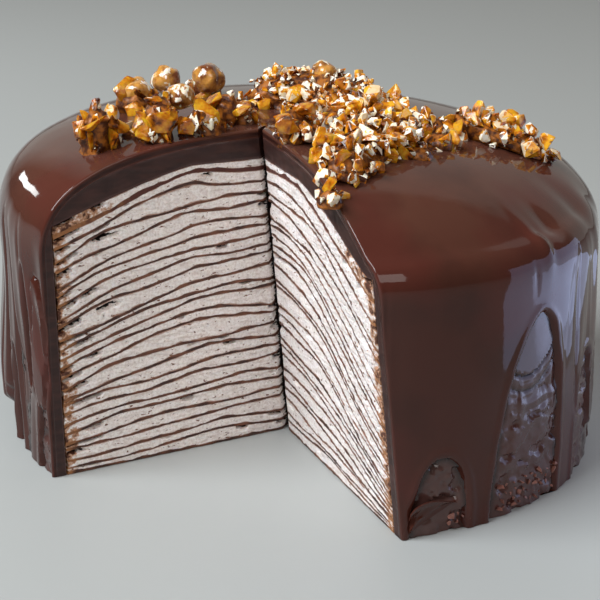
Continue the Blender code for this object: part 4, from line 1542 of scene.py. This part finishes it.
# %% Scatter the bits over the cores
tree = scatter_tree()
large_nuts = large_bits("large_nuts", LARGE_NUTS, seed=340, bare_share=0.85, shade=0.30)
large_shards = large_bits("large_shards", LARGE_SHARDS, seed=300, bare_share=0.0, shade=0.70)
nuts = scatter_all("chopped_nuts", tree, NUTS, nut_finish, NUT_RECIPES, 0, [large_nuts])
shards = scatter_all("caramel_shards", tree, SHARDS, caramel_finish, SHARD_RECIPES, 10, [large_shards])

# %% [markdown]
# ## Whole hazelnuts
#
# A few nuts stayed whole: nearly round, a little pointed at one end, with a coat of caramel that runs
# thin over the shoulder. A sphere, drawn out at one pole and dented by noise, is one of them.

# %% Make the whole nuts
WHOLE_NUTS = (                 # x, y, height of its middle over the glaze, radius
    (-0.0640, 0.0000, 0.0052, 0.0060),
    (-0.0560, 0.0290, 0.0050, 0.0056),
    (-0.0400, 0.0230, 0.0056, 0.0062),
    (-0.0455, -0.0330, 0.0110, 0.0046),
    (0.0030, 0.0030, 0.0125, 0.0044),
)
NUT_POINT = 0.16               # how far a nut is drawn out at its pointed end


def hazelnut_mesh():
    """All the whole nuts as one mesh, each turned its own way."""
    build = bmesh.new()
    for number, (x, y, rise, radius) in enumerate(WHOLE_NUTS):
        ball = bmesh.ops.create_icosphere(build, subdivisions=4, radius=radius)["verts"]
        spots = np.array([vertex.co for vertex in ball])
        bumps = 0.00095 * noise(spots + number * 0.1, 0.0048, 62) + 0.00025 * noise(spots, 0.0018, 63)
        turn = Matrix.Rotation(random.Random(number).uniform(0.3, 1.2), 3, "X")
        middle = on_top(x, y) + Vector((0.0, 0.0, rise))
        for vertex, bump_here in zip(ball, bumps):
            point = vertex.co * (1.0 + bump_here / radius)
            point.z *= 1.0 + NUT_POINT * max(0.0, vertex.co.z / radius) ** 3
            vertex.co = middle + turn @ point
    return mesh_from(build, "whole_hazelnuts")


def hazelnut_material():
    material, tree, shader = new_material("caramel_hazelnut", Roughness=0.14, Subsurface_Weight=0.3,
                                          Subsurface_Scale=0.003, Subsurface_Radius=(1.0, 0.45, 0.12),
                                          Coat_Weight=0.6, Coat_Roughness=0.05)
    skin = between(tree, grain(tree, 0.0050, 3.0), 0.40, 0.62)
    colour = mix(tree, skin, (0.62, 0.300, 0.060), (0.16, 0.045, 0.012))
    bits = between(tree, grain(tree, 0.0030, 2.0), 0.57, 0.61)
    colour = mix(tree, bits, colour, (0.86, 0.80, 0.66))
    tree.links.new(colour, shader.inputs["Base Color"])
    tree.links.new(bump(tree, grain(tree, 0.0016, 2.0), 0.0003), shader.inputs["Normal"])
    return material


hazelnuts = finished("whole_hazelnuts", hazelnut_mesh(), hazelnut_material())
for piece in (praline_core, nuts, shards, hazelnuts):
    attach(piece, "root")
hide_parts(*PRALINE_NODES)


# %% [markdown]
# ## A flake of glaze and some crumbs
#
# When the wedge was lifted out, a thin flake of glaze slid down into the low arch and stayed there, its
# upper edge curled outwards. It is a leaf-shaped sheet: a loop of points up its front and down its back,
# carried along a few millimetres. The crumbs at the foot are scattered with the same tree as the nuts.

# %% Shape the flake
FLAKE_START, FLAKE_END = math.radians(18.4), math.radians(27.4)
FLAKE_THICKNESS = 0.0007
FLAKE_CURL = 0.0022            # how far its upper edge curls out
FLAKE_FOLD = 0.0013            # how far its slanted fold stands out
FLAKE_CLEAR = 0.0008           # how far it lies in front of the coat
FLAKE_LOW = (0.0012, 0.0098)   # height of its lower edge, and how much that rises along it
FLAKE_HIGH = (0.0096, 0.0030, 0.0012)   # height of its upper edge, its arch, and how much it rises


def flake_piece(material):
    """The curled flake that lies in the low arch."""
    low_start, low_rise = FLAKE_LOW
    high_start, high_arch, high_rise = FLAKE_HIGH
    along = np.linspace(0.0, 1.0, 17)[:, None]
    up = np.concatenate((np.linspace(0.0, 1.0, 9), np.linspace(1.0, 0.0, 9)))
    behind = np.repeat((0.0, 1.0), 9)
    low = low_start + low_rise * along ** 0.8
    high = high_start + high_arch * np.sin(math.pi * along ** 0.7) + high_rise * along
    height = low + (high - low) * up
    curl = FLAKE_CURL * ramp(up, 0.45, 1.0) * (1.0 - 0.5 * along)
    fold = FLAKE_FOLD * np.maximum(0.0, 1.0 - np.abs(up - 0.25 - 0.5 * along) / 0.22) * (1.0 - along)
    radius = BASE_RADIUS - GLAZE_SIDE + FLAKE_CLEAR + curl + fold - FLAKE_THICKNESS * behind
    bearing = FLAKE_START + (FLAKE_END - FLAKE_START) * along * np.ones(up.shape)
    points = np.concatenate((radius[..., None] * direction(bearing), height[..., None]), axis=-1)
    shell = Shell("cut")
    numbers = shell.add(settle(points))
    shell.grid(np.concatenate((numbers, numbers[:, :1]), axis=1))
    for end in (0, -1):
        shell.fan(numbers[end], shell.add(settle(points[end].mean(0)[None]))[0])
    return shell.piece("glaze_flake", material)


# %% Make the flake and the crumbs
CRUMB_PATCHES = (              # bearings of the two ends in degrees, bottom and top
    (37.0, 53.0, 0.0024, 0.0120),
    (26.0, 31.0, 0.0024, 0.0060),
)


def crumb_patch():
    """Upright patches in front of the coat, for the crumbs to lie on."""
    shell = Shell()
    for start, end, low, high in CRUMB_PATCHES:
        bearing = np.radians(np.linspace(start, end, 9))[None, :] * np.ones((2, 1))
        height = np.array((low, high))[:, None] * np.ones(9)
        plan = (BASE_RADIUS - GLAZE_SIDE) * direction(bearing)
        shell.grid(shell.add(settle(np.concatenate((plan, height[..., None]), axis=-1))))
    mesh = bpy.data.meshes.new("crumb_patch")
    mesh.from_pydata(np.concatenate(shell.points), [], shell.faces)
    return mesh


def crumb_material():
    material, tree, shader = new_material("chocolate_crumb", Roughness=0.45)
    colour = mix(tree, grain(tree, 0.0016, 3.0), (0.060, 0.020, 0.014), (0.330, 0.130, 0.095))
    tree.links.new(colour, shader.inputs["Base Color"])
    tree.links.new(bump(tree, grain(tree, 0.0007, 3.0), 0.0002), shader.inputs["Normal"])
    return material


flake = flake_piece(glaze.data.materials[0])
CRUMBS = variants("crumb", 6, 8, (1.0, 0.85, 0.65), 0.0)
crumbs = scatter_all("crumbs", tree, CRUMBS, crumb_material(),
                     [(crumb_patch(), 0.0023, 0.0014, 0.0040, 0.0006, -1.0)], 20)
for piece, slot in ((flake, "chocolate_glaze"), (crumbs, "ganache_coat")):
    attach(piece, "root")

# %% [markdown]
# ## Floor
#
# The cake stands on a plain pale floor in one colour, wide enough to fill the view from any side. It isn't
# part of the cake.

# %% Floor
FLOOR_COLOUR = (0.375, 0.388, 0.375, 1.0)
FLOOR_RADIUS = 6.0
FLOOR_GAP = 0.0002             # the cake's foot is this far over it

bpy.ops.mesh.primitive_circle_add(vertices=96, radius=FLOOR_RADIUS, fill_type="NGON",
                                  location=(0.0, 0.0, -FLOOR_GAP))
floor = bpy.context.active_object
floor.name = "floor"
floor.data.materials.append(new_material("pale_floor", Roughness=0.45, Base_Color=FLOOR_COLOUR)[0])
print("floor:", 2 * FLOOR_RADIUS, "m across")


# %% [markdown]
# ## Light
#
# A glossy glaze shows what stands round it, so the lights are soft rectangles, placed for what they leave
# on the glaze. A large one from the left makes the right cut face the brighter one. A tall pale blue one on
# the right and a long one at the back left leave bright patches, and the pale wall behind shows in the top
# at a low angle.

# %% Lights
PALE_BLUE = (0.50, 0.62, 1.0)
LAMP_LEAN = math.radians(28.0)     # how far the long lamp leans


def soft_light(name, place, aim, size, brightness, colour, lean=0.0):
    """A rectangular light aimed at a point; its brightness is that of its surface."""
    data = bpy.data.lights.new(name, "AREA")
    data.shape = "RECTANGLE"
    data.size, data.size_y = size
    data.energy = brightness * math.pi * size[0] * size[1]
    data.color = colour
    light = bpy.data.objects.new(name, data)
    light.location = place
    turned = (Vector(aim) - Vector(place)).to_track_quat("-Z", "Y").to_matrix()
    light.rotation_euler = (turned @ Matrix.Rotation(lean, 3, "Z")).to_euler()
    light.visible_camera = False
    bpy.context.scene.collection.objects.link(light)
    return light


soft_light("window", (-1.38, -0.78, 1.72), (0.0, 0.0, 0.05), (1.5, 1.2), 15.4, (0.90, 0.95, 1.0))
soft_light("blue_side", (0.195, -0.042, 0.058), (0.0, -0.042, 0.058), (0.125, 0.108), 1.4, PALE_BLUE)
soft_light("table_bounce", (0.36, 0.06, 0.002), (0.36, 0.06, 1.0), (0.24, 0.22), 1.3, PALE_BLUE)
soft_light("front_fill", (0.5, -1.4, 1.1), (0.0, 0.0, 0.05), (1.2, 0.8), 3.0, (1.0, 0.96, 0.92))
soft_light("low_back_lamp", (-0.76, 0.61, 0.345), (-0.093, -0.050, 0.099), (0.36, 0.07), 9.0,
           (0.95, 1.0, 1.0), LAMP_LEAN)


def room():
    """A pale grey wall behind, and darker walls and ceiling elsewhere."""
    world = bpy.data.worlds.new("grey_room")
    world.use_nodes = True
    tree = world.node_tree
    across = node(tree, "TexCoord", output=0)
    rise = node(tree, "SeparateXYZ", {0: across}, 2)
    behind = node(tree, "SeparateXYZ", {0: across}, 1)
    walls = mix(tree, between(tree, behind, 0.50, 0.57), (0.120, 0.105, 0.090), (0.42, 0.43, 0.405))
    aside = node(tree, "SeparateXYZ", {0: across}, 0)
    walls = mix(tree, between(tree, aside, -0.55, -0.40), (0.075, 0.050, 0.042), walls)
    colour = mix(tree, between(tree, rise, 0.86, 0.92), walls, (0.23, 0.145, 0.120))
    tree.links.new(colour, tree.nodes["Background"].inputs["Color"])
    return world


bpy.context.scene.world = room()
print("lights:", len(bpy.data.lights))

# %% [markdown]
# ## Camera
#
# The camera stands near and looks down by about twenty degrees, slightly tilted, through a long lens. Its
# place is worked out from the point that it aims at and from its three directions.

# %% Camera
VIEW_DISTANCE = 0.56153
VIEW_DOWN = 0.34069            # how far the camera looks down, in radians
VIEW_ROLL = 0.03132            # and how far it is tilted
AIM = Vector((-0.00288, 0.0, 0.04366))
LENS = 89.75

ahead = Vector((0.0, math.cos(VIEW_DOWN), -math.sin(VIEW_DOWN)))
level = Vector((1.0, 0.0, 0.0))
upright = level.cross(ahead)
across = math.cos(VIEW_ROLL) * level + math.sin(VIEW_ROLL) * upright
above = -math.sin(VIEW_ROLL) * level + math.cos(VIEW_ROLL) * upright
camera_data = bpy.data.cameras.new("camera")
camera_data.lens = LENS
camera_data.clip_start = 0.01
camera = bpy.data.objects.new("camera", camera_data)
camera.matrix_world = (Matrix.Translation(AIM - VIEW_DISTANCE * ahead)
                       @ Matrix((across, above, -ahead)).transposed().to_4x4())
bpy.context.scene.collection.objects.link(camera)
bpy.context.scene.camera = camera
bpy.context.scene.view_settings.view_transform = "Standard"
print("camera:", round(VIEW_DISTANCE, 2), "m away, lens", LENS, "mm")
